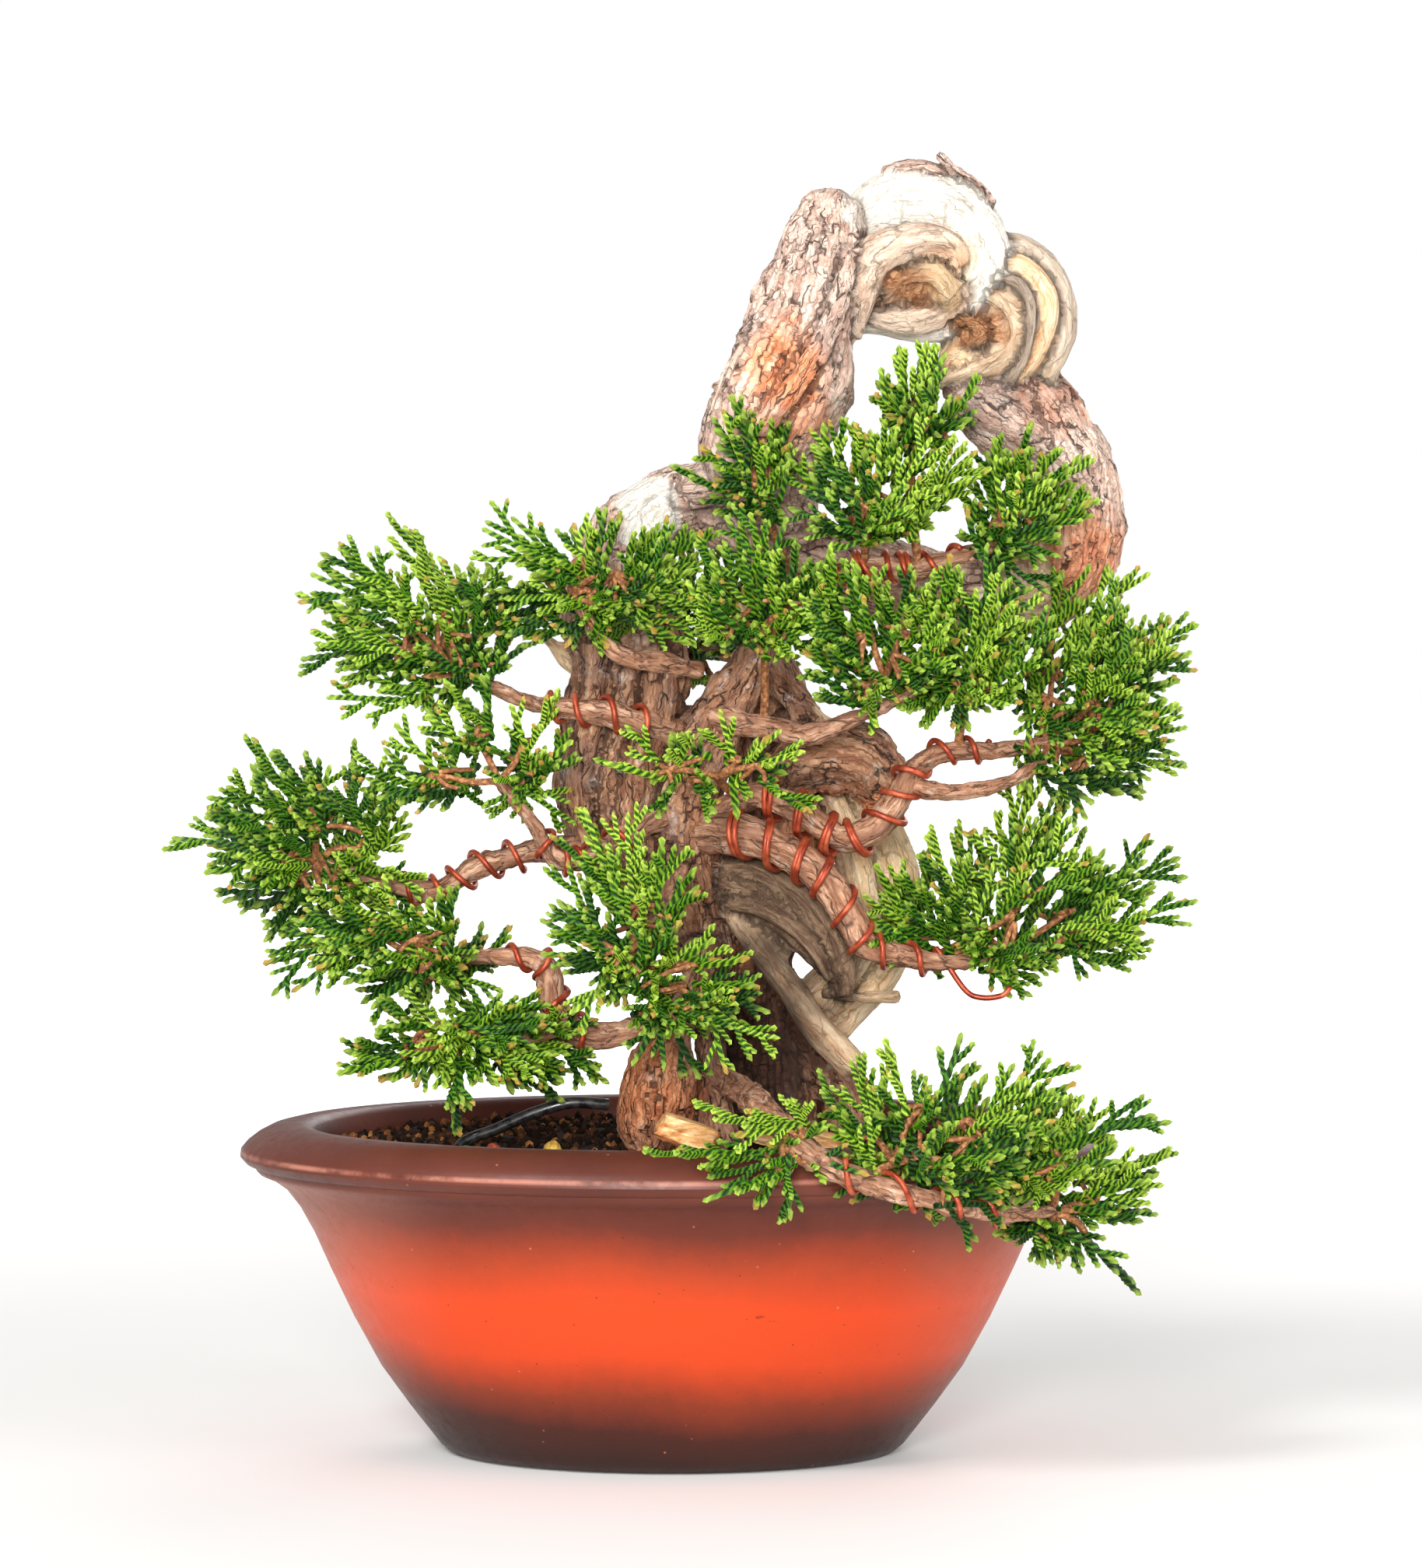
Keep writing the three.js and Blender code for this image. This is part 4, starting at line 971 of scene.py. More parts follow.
def make_trunk():
    """Fluted limbs are drawn as tubes, fused into one skin, weathered with cracks and thinned."""
    parts = [tube(tree(*stations), BARK_SIDES, BARK_STEP, fluted(depth, twist, seed))
             for seed, (twist, depth, _, stations) in enumerate(LIMBS.values())]
    raw = join(parts)
    mesh = new_mesh("grown_wood", raw["points"], raw["faces"])
    piece = bpy.data.objects.new("grown_wood", mesh)
    bpy.context.collection.objects.link(piece)
    fuse = piece.modifiers.new("fuse", "REMESH")
    fuse.mode = "VOXEL"
    fuse.voxel_size = WOOD_VOXEL
    apply_modifiers(piece)
    mesh = piece.data
    points = points_of(mesh)
    search = KDTree(len(raw["points"]))
    for i, point in enumerate(raw["points"]):
        search.insert(point, i)
    search.balance()
    nearest = np.array([search.find(point)[1] for point in points])
    flow = raw["flow"][nearest]
    normals = normals_of(mesh)
    groups = [nearest_limbs(points[i:i + 20000]) for i in range(0, len(points), 20000)]
    owner = np.concatenate([group[0] for group in groups])
    crease = np.concatenate([group[1] for group in groups])
    tones = np.array([tone for _, _, tone, _ in LIMBS.values()], dtype=float)[owner]
    bare = np.maximum(tones[:, 0], patch_mask(points, BARE_PATCHES, 0.07, 0.55, 3))
    bare *= 1 - patch_mask(points, BARK_PATCHES, 0.1, 0.6, 13)
    hollow = patch_mask(points, HOLLOW_PATCHES, 0.2, 0.4, 9)
    ridges = along_grain(flow, 3.2, 16, 21)
    fine = along_grain(flow, 1.5, 7, 31)
    cracks = smooth(0.88, 0.99, 1 - np.abs(grainy(flow / np.array([3 * MM, 3 * MM, 11 * MM]), 41)))
    cracks *= smooth(-0.1, 0.25, grainy(points / (7 * MM), 43))
    flakes = smooth(0.0, 0.1, along_grain(flow, 5, 12, 47))
    lumps = fractal(points / (10 * MM), 3, 51)
    pits = fractal(points / (2.6 * MM), 3, 61)
    bark_height = 1.1 * ridges + 0.6 * fine - 0.8 * cracks + 0.5 * pits + 0.45 * flakes
    wood_height = 0.55 * ridges + 0.35 * fine
    height = (1.6 - 1.0 * bare) * lumps + bark_height * (1 - bare) + wood_height * bare - 0.7 * bare
    height -= hollow * (1.0 + 4.5 * np.abs(pits)) + 0.9 * crease
    points += normals * height[:, None] * MM
    move_points(mesh, points)
    mesh.update()
    paint(mesh, "flow", flow)
    paint(mesh, "bare", bare)
    paint(mesh, "cream", np.maximum(tones[:, 1], patch_mask(points, CREAM_PATCHES, 0.3, 0.3, 4)))
    paint(mesh, "aged", tones[:, 2])
    paint(mesh, "orange", patch_mask(points, ORANGE_PATCHES, 0.35, 0.4, 5))
    paint(mesh, "hollow", hollow)
    # dark cracks in the bark, and painted shade in the creases where limbs meet
    dark = np.maximum(0.35 * cracks * (1 - bare), 0.75 * crease)
    paint(mesh, "cracks_and_painted_shade", np.maximum(patch_mask(points, PAINTED_SHADE_PATCHES, 0.4, 0.3, 6), dark))
    mesh.polygons.foreach_set("use_smooth", [True] * len(mesh.polygons))
    thin = piece.modifiers.new("thin", "DECIMATE")
    thin.ratio = WOOD_SHARE
    apply_modifiers(piece)
    finish_piece(piece, "wood", ["trunk"])


# Branches and the wire that holds them

BRANCH_STATIONS = {
    "branch_right_upper": [
        (9, -10, 78, 4.5), (21, -17, 84, 4.1), (31, -21, 80, 4.1), (40, -23, 74, 3.9), (48, -23, 76, 3.9),
        (54, -22, 83, 3.6), (58, -22, 91, 3), (66, -22, 95, 2.4), (77, -20, 95, 1.9), (90, -18, 97, 1.5),
    ],
    "branch_right_fork": [
        (57, -21, 86, 2.6), (64, -23, 85, 2.4), (72, -25, 85.5, 2.1), (81, -25, 88, 1.7),
        (89, -23, 93, 1.4),
    ],
    "branch_right_lower": [
        (5, -10, 75, 4.8), (17, -20, 75, 4.7), (27, -24, 71, 4.4), (36, -27, 65, 4), (42, -27, 56, 3.7),
        (46, -25, 49, 3.2), (55, -23, 46, 2.9), (66, -21, 44, 2.3), (80, -18, 46, 1.6),
    ],
    "branch_left_upper": [
        (2, -10, 98, 3.3), (-6, -18, 101, 3.3), (-15, -20, 104, 3.1), (-25, -19, 105, 2.8),
        (-35, -17, 107, 2.2), (-52, -14, 114, 1.6),
    ],
    "branch_left_middle": [
        (0, -12, 80, 3), (-12, -20, 74, 2.8), (-21, -24, 69, 2.6), (-28, -27, 70, 2.5),
        (-33, -28, 78, 2.2), (-41, -28, 88, 1.5),
    ],
    "branch_left_far": [
        (-20, -6, 72, 3.3), (-34, -13, 70, 3.2), (-46, -14, 67, 3.1), (-57, -14, 61, 2.9),
        (-68, -14, 63, 2.2), (-86, -12, 68, 1.6),
    ],
    "branch_left_lower": [
        (4, -12, 32, 4), (-10, -22, 28, 3.7), (-21, -26, 27, 3.7), (-28, -28, 34, 3.6),
        (-30, -27, 44, 2.8), (-40, -25, 46, 2), (-58, -24, 45, 1.5),
    ],
    "branch_left_base": [
        (-26, -29, 30, 2.6), (-37, -32, 27, 2), (-50, -34, 27, 1.4),
    ],
    "branch_over_rim": [
        (12, -20, 16, 3.7), (18, -40, 14, 3.6), over_rim(0.22, -0.84, 7.5, 3.3),
        over_rim(0.32, -1.06, 0, 3), over_rim(0.45, -1.08, -6, 2.8), over_rim(0.6, -1, -11, 2.5),
        over_rim(0.75, -0.86, -15, 2), over_rim(0.85, -0.76, -15, 1.5),
    ],
    "branch_top": [
        (19, -6, 118, 4.1), (28, -12, 130, 3.7), (36, -17, 137, 3.3), (48, -21, 139, 2.9),
        (60, -23, 139, 2.6), (76, -23, 144, 1.8),
    ],
    "branch_middle": [
        (10, -12, 102, 3.2), (22, -19, 101, 3), (33, -25, 99, 2.8), (46, -31, 104, 2.1),
        (58, -34, 110, 1.6),
    ],
    "branch_upper_left": [
        (6, -10, 114, 2.8), (-3, -18, 116, 2.6), (-12, -23, 118, 2.4), (-18, -25, 123, 2),
        (-24, -24, 134, 1.5),
    ],
    "branch_front": [
        (2, -14, 66, 3), (-3, -33, 56, 2.7), (-8, -46, 46, 2.3), (-10, -55, 48, 1.5),
    ],
    "branch_back": [
        (24, 22, 100, 4), (28, 34, 108, 3.4), (20, 44, 116, 2.6), (6, 48, 118, 1.8),
    ],
}
BRANCHES = {name: tree(*stations) for name, stations in BRANCH_STATIONS.items()}

# Wire: the branch it holds, where it starts and ends along it, its turns, its start round the
# branch, a second strand's start or None, and any free tail
WIRES = {
    "wire_right_upper": ("branch_right_upper", 0.16, 0.86, 9, 0.0, 0.5, ()),
    "wire_right_lower": ("branch_right_lower", 0.14, 0.82, 8, 1.0, 1.6, (
        (70, -23, 38), (74, -24, 36), (79, -24, 36.5), (81, -24, 38.5),
    )),
    "wire_left_upper": ("branch_left_upper", 0.2, 0.62, 3.5, 2.0, None, ()),
    "wire_left_middle": ("branch_left_middle", 0.25, 0.72, 5, 0.0, None, ()),
    "wire_left_far": ("branch_left_far", 0.25, 0.72, 5, 1.0, None, ()),
    "wire_left_lower": ("branch_left_lower", 0.35, 0.8, 4, 0.0, None, ()),
    "wire_top": ("branch_top", 0.45, 0.9, 4, 2.0, 2.6, ()),
    "wire_over_rim": ("branch_over_rim", 0.55, 0.92, 4, 0.0, None, ()),
}
WIRE_RADIUS = 0.72 * MM
WIRE_SIDES = 8
BRANCH_SLIMNESS = 0.88
COIL_STEPS = 20


def make_branch(name, seed):
    slim = BRANCHES[name] * np.array([1, 1, 1, BRANCH_SLIMNESS])
    shape = tube(slim, 20, 0.7 * MM, fluted(0.14, 40, seed))
    points, flow = shape["points"], shape["flow"]
    ridges = 1 - 2 * np.abs(along_grain(flow, 1.4, 5, seed + 70))
    scales = fractal(points / (1.6 * MM), 3, seed + 90)
    spine = np.vstack([shape["route"]["centre"].repeat(20, axis=0), points[-2:]])
    outward = unit(points - spine)
    knots = fractal(points / (4.5 * MM), 2, seed + 110)
    points = points + outward * (0.2 * ridges + 0.4 * scales + 0.8 * knots)[:, None] * MM
    piece = new_piece(name + "_bark", points, [shape["quads"], shape["tris"]],
                      "branch", [name])
    paint(piece.data, "flow", flow)


def coil(route, start, end, turns, phase, rise=0.0):
    """Points of a wire that winds round a route."""
    count = int(turns * COIL_STEPS)
    share = np.linspace(start, end, count)
    spot = share * route["along"][-1]
    centre, normal, binormal = (
        np.stack([np.interp(spot, route["along"], route[key][:, k]) for k in range(3)], axis=1)
        for key in ("centre", "normal", "binormal")
    )
    reach = np.interp(spot, route["along"], route["radius"]) + WIRE_RADIUS + rise
    # turns crowd and spread a little, as wire wound by hand does
    uneven = 0.7 * np.sin(np.linspace(0, turns * 2.3, count))
    angle = phase + np.linspace(0, turns, count) * 2 * math.pi + uneven
    return (centre + np.cos(angle)[:, None] * reach[:, None] * normal
            + np.sin(angle)[:, None] * reach[:, None] * binormal)


def make_wire(name):
    branch, start, end, turns, phase, second, tail = WIRES[name]
    route = sample_route(BRANCHES[branch], 0.7 * MM)
    strands = [np.vstack([coil(route, start, end, turns, phase)] + ([tree(*tail)] if tail else []))]
    if second is not None:
        strands.append(coil(route, start + 0.02, end * 0.8, turns * 0.75, second))
    parts = [tube(np.column_stack([strand, np.full(len(strand), WIRE_RADIUS)]), WIRE_SIDES, 0.7 * MM)
             for strand in strands]
    whole = join(parts)
    new_piece(name + "_strand", whole["points"], whole["faces"], "copper", [name])


# Foliage

# Each pad: its middle and half sizes in millimetres, the branch that carries it and where,
# its number of sprays, and the lean of its shoots
PADS = {
    "foliage_top": ((59, -24, 181), (13, 12, 13), "branch_top", 0.75, 22, (0.2, 0, 1.0)),
    "foliage_top_left": ((18, -31, 166), (14, 13, 15), "branch_top", 0.3, 24, (-0.3, -0.2, 1.0)),
    "foliage_top_middle": ((48, -34, 160), (21, 14, 17), "branch_top", 0.55, 36, (0.0, -0.2, 0.9)),
    "foliage_top_right": ((84, -26, 156), (17, 14, 18), "branch_top", 1.0, 34, (0.5, -0.1, 0.6)),
    "foliage_upper_left": ((-19, -26, 136), (28, 17, 16), "branch_upper_left", 1.0, 42, (-0.6, -0.2, 0.6)),
    "foliage_centre_left": ((22, -41, 133), (21, 15, 17), "branch_middle", 0.25, 34, (-0.1, -0.3, 0.8)),
    "foliage_centre": ((46, -44, 124), (20, 17, 19), "branch_middle", 0.9, 38, (0.1, -0.4, 0.8)),
    "foliage_centre_right": (
        (69, -40, 120), (19, 18, 20), "branch_right_upper", 0.78, 36, (0.3, -0.3, 0.8),
    ),
    "foliage_right": ((103, -20, 108), (23, 24, 28), "branch_right_upper", 1.0, 64, (0.7, -0.1, 0.2)),
    "foliage_left_upper": ((-61, -14, 125), (28, 22, 19), "branch_left_upper", 1.0, 56, (-0.7, -0.1, 0.4)),
    "foliage_left_middle": ((-46, -28, 94), (26, 15, 21), "branch_left_middle", 1.0, 27, (-0.4, -0.3, 0.5)),
    "foliage_left_far": ((-88, -12, 73), (26, 24, 23), "branch_left_far", 1.0, 58, (-0.7, -0.1, 0.3)),
    "foliage_left_lower": ((-66, -24, 47), (28, 22, 16), "branch_left_lower", 1.0, 48, (-0.8, -0.2, -0.1)),
    "foliage_left_base": ((-48, -38, 24), (32, 20, 14), "branch_left_base", 1.0, 44, (-0.6, -0.3, -0.2)),
    "foliage_front_middle": ((9, -44, 92), (28, 11, 17), "branch_right_upper", 0.1, 13, (0.1, -0.4, 0.2)),
    "foliage_front_lower": ((-13, -57, 60), (18, 13, 20), "branch_front", 1.0, 30, (-0.1, -0.3, 0.8)),
    "foliage_front_base": ((1, -56, 38), (25, 15, 15), "branch_front", 0.8, 34, (0.4, -0.4, 0.0)),
    "foliage_right_lower": ((87, -16, 60), (33, 24, 22), "branch_right_lower", 1.0, 60, (0.7, -0.1, 0.3)),
    "foliage_rim_front": ((22, -90, 3), (24, 10, 15), "branch_over_rim", 0.45, 13, (-0.5, -0.3, -0.3)),
    "foliage_rim_middle": ((63, -76, 10), (27, 18, 19), "branch_over_rim", 0.62, 54, (0.2, -0.2, 0.8)),
    "foliage_rim_right": ((93, -57, -5), (23, 21, 22), "branch_over_rim", 1.0, 46, (0.7, -0.2, -0.2)),
    "foliage_back": ((8, 48, 128), (30, 18, 22), "branch_back", 1.0, 46, (0.0, 0.6, 0.5)),
}
SHOOT_RADIUS = 0.76 * MM
FULLNESS = 1.1  # sprays against the counts above
SHOOT_BANDS = {"long": 13, "middle": 8, "short": 5}
SHOOT_COLUMNS = ("start", "direction", "length", "normal", "bend", "radius", "tip", "shade", "dry")
LEAF_MASKS = ("painted_keel_light", "tip", "shade", "dry")
SPRAY_LENGTH = (15 * MM, 30 * MM)
SIDE_SHOOT_STEP = 4.0 * MM
SMALL_SHOOT_STEP = 4.4 * MM
SKIPPED_SHOOTS = 0.1


def cords(rows, bands):
    """Scale-leaf shoots of one shape, bent and turned to each row.

    A shoot has four sides. Its scales sit in crossed pairs, so opposite corners stand out on one
    ring and draw in on the next.
    """
    count = len(rows["start"])
    t = np.linspace(0, 1, bands + 1)
    along = t[None, :, None] * rows["length"][:, None, None]
    bend = rows["bend"][:, None, :] * t[None, :, None]
    direction = unit(rows["direction"][:, None, :] + bend)
    centre = rows["start"][:, None, :] + along * unit(rows["direction"][:, None, :] + bend * 0.5)
    side = np.cross(direction, rows["normal"][:, None, :])
    side = unit(side)
    up = np.cross(side, direction)
    taper = rows["radius"][:, None] * (1 - 0.16 * t[None, :] ** 3)
    corner = np.arange(4)
    angle = corner * math.pi / 2 + math.pi / 4
    out = (np.arange(bands + 1)[:, None] + corner[None, :]) % 2
    reach = taper[:, :, None] * np.where(out == 1, 1.26, 0.78)[None, :, :]
    points = (centre[:, :, None, :]
              + (np.cos(angle) * reach)[..., None] * side[:, :, None, :]
              + (np.sin(angle) * reach)[..., None] * up[:, :, None, :])
    tip = centre[:, -1, :] + direction[:, -1, :] * rows["radius"][:, None] * 0.9
    points = np.concatenate([points.reshape(count, -1, 3), tip[:, None, :]], axis=1)
    size = points.shape[1]
    ring = np.arange(bands)[:, None] * 4
    here, beside = ring + corner, ring + (corner + 1) % 4
    quads = np.stack([here, here + 4, beside + 4, beside], axis=-1).reshape(-1, 4)
    quads = np.vstack([quads, [[0, 1, 2, 3]]])
    last = bands * 4
    tris = np.array([[last + k, size - 1, last + (k + 1) % 4] for k in range(4)])
    start = (np.arange(count) * size)[:, None, None]
    # painted light: 1 on the corners that stand out, which get a painted highlight, 0 in the grooves, which
    # get painted shade
    painted_keel_light = np.append(out.ravel().astype(float), 1.0)
    tipness = np.append(np.repeat(t, 4), 1.0)[None, :] * rows["tip"][:, None]
    return {
        "points": points.reshape(-1, 3),
        "quads": (quads[None] + start).reshape(-1, 4),
        "tris": (tris[None] + start).reshape(-1, 3),
        "painted_keel_light": np.tile(painted_keel_light, count),
        "tip": tipness.ravel(),
        "shade": np.repeat(rows["shade"], size),
        "dry": np.repeat(rows["dry"], size),
    }


def grow_spray(rng, origin, tip, normal, shade, book):
    """One flat spray: a curved leader with side shoots in turn left and right, and small ones on those."""
    axis = tip - origin
    length = np.linalg.norm(axis)
    axis = axis / length
    normal = unit(normal - axis * normal.dot(axis))
    flank = np.cross(axis, normal)
    curve = rng.normal(0, 0.16) * flank + rng.normal(0.05, 0.14) * normal

    def shoot(start, direction, size, radius, tipness, bend):
        bands = "long" if size > 8 * MM else "middle" if size > 5 * MM else "short"
        book[bands].append((start, direction, size, normal + rng.normal(0, 0.25, 3), bend, radius, tipness,
                            shade + rng.normal(0, 0.09), rng.random()))

    joints = max(1, int(round(length / (12 * MM))))
    stretch = length / joints
    spot, heading = origin, unit(axis - curve * 0.5)
    hand = rng.choice((-1, 1))
    step = SIDE_SHOOT_STEP
    for j in range(joints):
        bend = curve / joints + rng.normal(0, 0.05, 3)
        last = j == joints - 1
        shoot(spot, heading, stretch * 1.03, SHOOT_RADIUS * (1.15 - 0.12 * j), 1.0 if last else 0.3, bend)
        for place in np.arange(step * 0.8, stretch - (3.5 * MM if last else 0), step):
            hand = -hand
            share = place / stretch
            run = (j + share) / joints
            if rng.random() < SKIPPED_SHOOTS:
                continue
            slant = math.radians(rng.uniform(30, 46))
            course = unit(heading + bend * share)
            aim = unit(course * math.cos(slant) + hand * flank * math.sin(slant)
                       + normal * rng.normal(0.04, 0.16))
            size = min(max(length * (0.70 - 0.42 * run) * rng.uniform(0.6, 1.25), 3.8 * MM), 17 * MM)
            base = spot + unit(heading + bend * 0.5 * share) * place
            back = -hand * flank * 0.28 + normal * rng.normal(0.03, 0.1)
            shoot(base, aim, size, SHOOT_RADIUS, 1.0, back)
            turn = hand
            for part in np.arange(3.8 * MM, size - 3.2 * MM, SMALL_SHOOT_STEP):
                turn = -turn
                fork = math.radians(rng.uniform(28, 44))
                small = unit(aim * math.cos(fork) + turn * np.cross(aim, normal) * math.sin(fork)
                             + normal * rng.normal(0.03, 0.14))
                reach = (size - part) * rng.uniform(0.5, 0.8) + 1.2 * MM
                shoot(base + unit(aim + back * 0.5 * part / size) * part, small, min(reach, 7 * MM),
                      SHOOT_RADIUS * 0.92, 1.0, -turn * flank * 0.1)
        spot = spot + unit(heading + bend * 0.5) * stretch
        heading = unit(heading + bend)


def spread(count, rng):
    """Directions spread evenly over a ball, a little uneven."""
    i = np.arange(count) + 0.5
    height = 1 - 2 * i / count
    turn = math.pi * (1 + math.sqrt(5)) * i
    ring = np.sqrt(1 - height ** 2)
    even = np.stack([np.cos(turn) * ring, np.sin(turn) * ring, height], axis=1)
    return unit(even + rng.normal(0, 0.16, even.shape))


def twig(rng, start, end, radii, sides=6):
    """A slightly crooked bare twig."""
    middle = (start + end) / 2 + rng.normal(0, 0.07 * np.linalg.norm(end - start), 3)
    low, high = radii
    return tube([[*start, low], [*middle, (low + high) / 2], [*end, high]], sides, 1.6 * MM)


def make_pad(node, seed):
    """A fan of flat sprays on short twigs that spread from the end of a branch."""
    middle, half, branch, share, count, lean = PADS[node]
    rng = np.random.default_rng(400 + seed)
    centre, reach, lean = tree(middle)[0], np.array(half) * MM, np.array(lean)
    route = sample_route(BRANCHES[branch], 1 * MM)
    ring = int(round(share * (len(route["centre"]) - 1)))
    joint = route["centre"][ring]
    back = joint - centre
    inside = min(1.0, 0.75 / max(np.linalg.norm(back / reach), 1e-6))
    hub = centre + back * inside
    book = {bands: [] for bands in SHOOT_BANDS}
    twigs = []
    if np.linalg.norm(joint - hub) > 1 * MM:
        twigs.append(twig(rng, joint, hub, (1.1 * MM, 0.9 * MM), 8))
    count = int(count * FULLNESS)
    directions = spread(count, rng)
    tips = centre + directions * reach * rng.triangular(0.5, 0.85, 1.36, (count, 1))
    arm_count = max(4, count // 7)
    arm_tips = tips[rng.permutation(count)[:arm_count]]
    arm_ends = hub + (arm_tips - hub) * 0.45
    for end in arm_ends:
        twigs.append(twig(rng, hub, end, (1.0 * MM, 0.7 * MM)))
    for tip in tips:
        gaps = np.linalg.norm(arm_ends - tip, axis=1) + 0.35 * np.linalg.norm(arm_ends - hub, axis=1)
        nearest = arm_ends[np.argmin(gaps)]
        heading = unit(unit(tip - nearest) + unit(tip - hub) * 0.6 + lean * rng.uniform(0.3, 0.9)
                       + rng.normal(0, 0.14, 3))
        length = np.linalg.norm(tip - nearest) * rng.uniform(0.9, 1.1)
        length = min(max(length, SPRAY_LENGTH[0]), SPRAY_LENGTH[1])
        origin = tip - heading * length
        if np.linalg.norm(origin - nearest) > 1.5 * MM:
            twigs.append(twig(rng, nearest, origin + heading * 2 * MM, (0.75 * MM, 0.6 * MM), 5))
        facing = unit(0.5 * unit(tip - centre) + np.array([0.0, -0.5, 0.5]) + rng.normal(0, 0.55, 3))
        # random tone, plus painted light: the higher the spray's tip sits in the pad, the lighter it is
        painted_top_light = ((tip - centre) / reach)[2]
        grow_spray(rng, origin, tip, facing, rng.uniform(0.05, 0.75) + 0.2 * painted_top_light, book)
    parts = []
    for key, bands in SHOOT_BANDS.items():
        columns = [np.array(column) for column in zip(*book[key])]
        parts.append(cords(dict(zip(SHOOT_COLUMNS, columns)), bands))
    whole = join_leaves(parts)
    points, faces = whole["points"], whole["faces"]
    piece = new_piece(node + "_shoots", points, faces, "leaf", [node], even=False)
    for name in LEAF_MASKS:
        paint(piece.data, name, whole[name])
    return twigs


def join_leaves(parts):
    whole = {name: np.concatenate([part[name] for part in parts]) for name in LEAF_MASKS}
    starts = np.cumsum([0] + [len(part["points"]) for part in parts[:-1]])
    whole["points"] = np.vstack([part["points"] for part in parts])
    whole["faces"] = [np.vstack([part[kind] + start for part, start in zip(parts, starts)])
                      for kind in ("quads", "tris")]
    return whole


# Soil

SOIL_REACH = (SOIL_HIGH - SOIL_LOW)[:2] / 2
SOIL_SLOPE = 1.6 * MM
SOIL_ROUGHNESS = 1.6 * MM
CRUMB_SHAPES = 6
CRUMB_COUNT = 2600
CRUMB_STANDS = 0.35  # how far a crumb's middle stands above the soil, in crumb sizes
PEBBLE_SINK = 0.8 * MM
CHIP_TILT = 0.35


def soil_height(x, y):
    share = np.hypot(x / SOIL_REACH[0], y / SOIL_REACH[1])
    rough = fractal(np.stack([x, y, x * 0], axis=-1) / (9 * MM), 4, 7)
    return SOIL_TOP - SOIL_SLOPE * np.minimum(share, 1) ** 2 + SOIL_ROUGHNESS * rough


def make_soil():
    rings, sides = 90, 180
    turn = np.arange(sides) / sides * 2 * math.pi
    share = np.linspace(1, 0.01, rings)
    x = share[:, None] * np.cos(turn) * SOIL_REACH[0]
    y = share[:, None] * np.sin(turn) * SOIL_REACH[1]
    top = np.stack([x, y, soil_height(x, y)], axis=-1).reshape(-1, 3)
    low = np.stack([x[0] * 0.6, y[0] * 0.6, x[0] * 0 + SOIL_LOW[2]], axis=-1)
    middle = np.stack([x[0] * 0.93, y[0] * 0.93, x[0] * 0 + (SOIL_LOW[2] + SOIL_TOP) / 2], axis=-1)
    peak = soil_height(np.zeros(1), np.zeros(1))[0]
    points = np.vstack([low, middle, top, [[0, 0, SOIL_LOW[2]], [0, 0, peak]]])
    quads, tris = tube_faces(rings + 2, sides)
    new_piece("root_ball", points, [quads, tris], "soil", ["soil"])


def lumpy_ball(rng):
    """A crumb of twenty faces."""
    bpy.ops.object.select_all(action="DESELECT")
    bpy.ops.mesh.primitive_ico_sphere_add(subdivisions=1, radius=1.0)
    ball = bpy.context.object
    points = points_of(ball.data)
    faces = np.array([list(face.vertices) for face in ball.data.polygons])
    bpy.data.objects.remove(ball, do_unlink=True)
    return points * (1 + 0.3 * fractal(points * 1.3 + rng.uniform(0, 9, 3), 2, 5))[:, None], faces


def make_crumbs():
    """Loose crumbs of soil all over the root ball."""
    rng = np.random.default_rng(71)
    shapes = [lumpy_ball(rng) for _ in range(CRUMB_SHAPES)]
    points, faces, shades = [], [], []
    start = 0
    for i in range(CRUMB_COUNT):
        share = math.sqrt(rng.random()) * 0.97
        turn = rng.uniform(0, 2 * math.pi)
        x, y = share * math.cos(turn) * SOIL_REACH[0], share * math.sin(turn) * SOIL_REACH[1]
        size = rng.uniform(0.45, 1.5) * MM * (1.5 if rng.random() < 0.06 else 1)
        shape, net = shapes[i % len(shapes)]
        stretch = rng.uniform(0.6, 1.1, 3) * size
        swing = rng.uniform(0, 2 * math.pi)
        spun = shape * stretch
        spun = np.stack([spun[:, 0] * math.cos(swing) - spun[:, 1] * math.sin(swing),
                         spun[:, 0] * math.sin(swing) + spun[:, 1] * math.cos(swing), spun[:, 2]], axis=1)
        height = soil_height(np.array([x]), np.array([y]))[0] + size * CRUMB_STANDS
        points.append(spun + [x, y, height])
        faces.append(net + start)
        shades.append(np.full(len(shape), rng.random() ** 1.5))
        start += len(shape)
    piece = new_piece("soil_crumbs", np.vstack(points), [np.vstack(faces)], "crumb", even=False)
    paint(piece.data, "shade", np.concatenate(shades))


def make_grain(node, material):
    """A lumpy pebble or tuft that fills its node's box."""
    low, high = box_of(node)
    bpy.ops.object.select_all(action="DESELECT")
    bpy.ops.mesh.primitive_ico_sphere_add(subdivisions=4, radius=1.0)
    piece = bpy.context.object
    piece.name = node + "_pebble"
    points = points_of(piece.data)
    points = points * (1 + 0.22 * fractal(points * 1.4 + low[0] * 900, 4, 8))[:, None]
    points = points / np.abs(points).max(axis=0) * (high - low) / 2
    points = points + (low + high) / 2 - [0, 0, PEBBLE_SINK]
    move_points(piece.data, points)
    bpy.ops.object.shade_smooth()
    finish_piece(piece, material, [node])


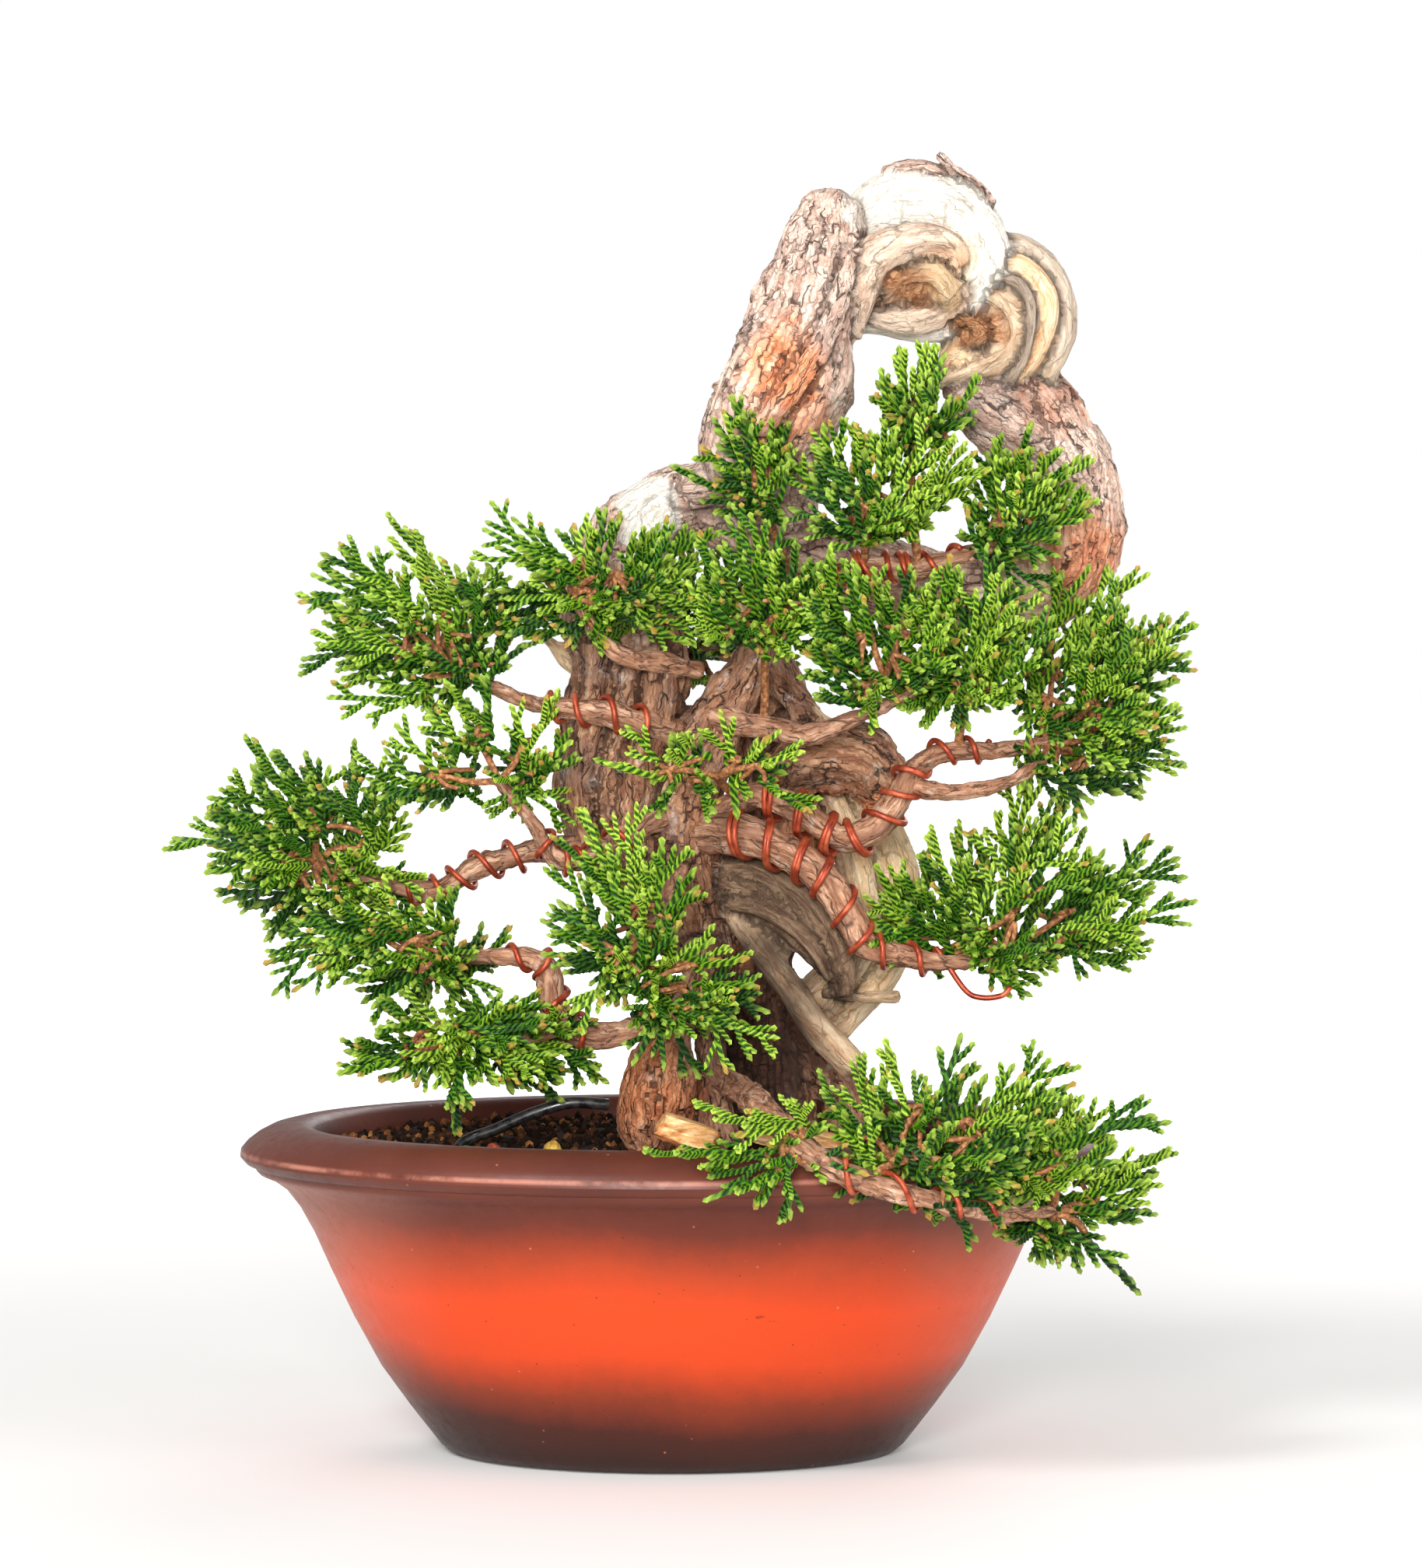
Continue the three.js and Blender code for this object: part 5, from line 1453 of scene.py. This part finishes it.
def make_chip(node, seed):
    """A flat splinter of split wood."""
    low, high = box_of(node)
    bpy.ops.object.select_all(action="DESELECT")
    bpy.ops.mesh.primitive_cube_add(size=2)
    piece = bpy.context.object
    piece.name = node + "_splinter"
    bpy.ops.object.mode_set(mode="EDIT")
    bpy.ops.mesh.select_all(action="SELECT")
    bpy.ops.mesh.bevel(offset=0.28, segments=2)
    bpy.ops.mesh.subdivide(number_cuts=5)
    bpy.ops.object.mode_set(mode="OBJECT")
    points = points_of(piece.data)
    rough = fractal(points * np.array([0.7, 3, 3]) + seed * 5, 4, seed)
    points += normals_of(piece.data) * (0.22 * rough)[:, None]
    points[:, 2] *= 0.45
    x, y, z = points.T
    cosine, sine = math.cos(CHIP_TILT), math.sin(CHIP_TILT)
    points = np.stack([x * cosine + z * sine, y, z * cosine - x * sine], axis=1)
    points = points / np.abs(points).max(axis=0) * (high - low) / 2 + (low + high) / 2
    move_points(piece.data, points)
    bpy.ops.object.shade_smooth_by_angle(angle=math.radians(50))
    finish_piece(piece, "split", [node])


ANCHOR_POINTS = [
    (-52, -30, -5, 1.4), (-50, -30, 1.5, 1.4), (-42, -31, 5, 1.4), (-33, -32, 9, 1.4),
    (-24, -32, 11.5, 1.4), (-15, -31, 11, 1.4),
]


def make_anchor():
    shape = tube(tree(*ANCHOR_POINTS), 14, 1 * MM)
    faces = [shape["quads"], shape["tris"]]
    new_piece("anchor_tube", shape["points"], faces, "tube", ["anchor_wire"])


# Assembly

make_pot()
for node in ("drain_screen_left", "drain_screen_right"):
    make_screen(node)
make_soil()
make_crumbs()
for node, material, slot in (
    ("grain_ochre", "ochre", "grain"), ("grain_red", "red", "grain"), ("grain_small", "ochre", "grain"),
    ("grain_grey", "grey", "grain"), ("moss_patch", "moss", "moss"),
):
    make_grain(node, material)
for seed, node in enumerate(("wood_chunk", "wood_plate_left", "wood_plate_right")):
    make_chip(node, seed + 1)
make_anchor()
make_trunk()
for seed, name in enumerate(BRANCHES):
    make_branch(name, seed)
for name in WIRES:
    make_wire(name)
twigs = []
for seed, node in enumerate(PADS):
    twigs.extend(make_pad(node, seed))
stems = join(twigs)
new_piece("woody_twigs", stems["points"], stems["faces"], "twig")


# Floor, light and camera

def area_light(name, place, aim, size, power):
    light = bpy.data.lights.new(name, "AREA")
    light.shape = "DISK"
    light.size = size
    light.energy = power
    lamp = bpy.data.objects.new(name, light)
    bpy.context.collection.objects.link(lamp)
    lamp.location = place
    direction = np.array(aim) - np.array(place)
    lamp.rotation_euler = (math.acos(-direction[2] / np.linalg.norm(direction)), 0,
                           math.atan2(direction[1], direction[0]) - math.pi / 2)


WORLD_LIGHT = 0.5


def make_studio():
    bpy.ops.object.select_all(action="DESELECT")
    bpy.ops.mesh.primitive_plane_add(size=12)
    floor = bpy.context.object
    floor.name = "floor"
    s = Surface("pale floor", roughness=0.7, Specular_IOR_Level=0.1, Emission_Strength=1.0)
    # painted light: the floor glows, faintly near the pot and brightly farther off, so it fades into the
    # white backdrop and its shadows are lightened
    distance = s.node("VectorMath", {0: s.place()}, operation="LENGTH").outputs["Value"]
    s.feed("Emission Color", s.ramp(s.step(distance, 0.2, 1.2), [(0.0, "4c4b4a"), (1.0, "e0e0e0")]))
    s.feed("Base Color", s.ramp(s.noise(s.place(), 3, detail=2), [(0.3, "e4e3e1"), (0.7, "e8e7e5")]))
    floor.data.materials.append(s.material)
    world = bpy.data.worlds.new("studio")
    bpy.context.scene.world = world
    world.use_nodes = True
    world.node_tree.nodes["Background"].inputs["Color"].default_value = (1, 1, 1, 1)
    # the backdrop is white, and half as strong on the object, so that its hollows stay dark
    sky = Nodes()
    sky.tree = world.node_tree
    seen = sky.node("LightPath").outputs["Is Camera Ray"]
    world.node_tree.links.new(sky.step(seen, 0.0, 1.0, WORLD_LIGHT, 1.0),
                              world.node_tree.nodes["Background"].inputs["Strength"])
    area_light("key", (-0.9, -1.3, 1.5), (0, 0, 0.15), 0.6, 20)
    area_light("fill", (1.3, -1.0, 0.9), (0, 0, 0.15), 1.0, 8)
    area_light("front", (-0.15, -1.9, 0.5), (0, 0, 0.18), 0.5, 34)
    area_light("back", (0.6, 1.7, 1.1), (0, 0, 0.15), 1.2, 12)
    bpy.context.scene.view_settings.view_transform = "Standard"


CAMERA_PLACE = (0.0094, -1.5, 0.225)
CAMERA_PITCH = -2.4
CAMERA_LENS = 142


def make_camera():
    camera = bpy.data.objects.new("camera", bpy.data.cameras.new("camera"))
    bpy.context.collection.objects.link(camera)
    camera.location = CAMERA_PLACE
    camera.rotation_euler = (math.radians(90 + CAMERA_PITCH), 0, 0)
    camera.data.lens = CAMERA_LENS
    camera.data.sensor_width = 36
    camera.data.clip_end = 50
    bpy.context.scene.camera = camera


make_studio()
make_camera()
bpy.context.view_layer.update()
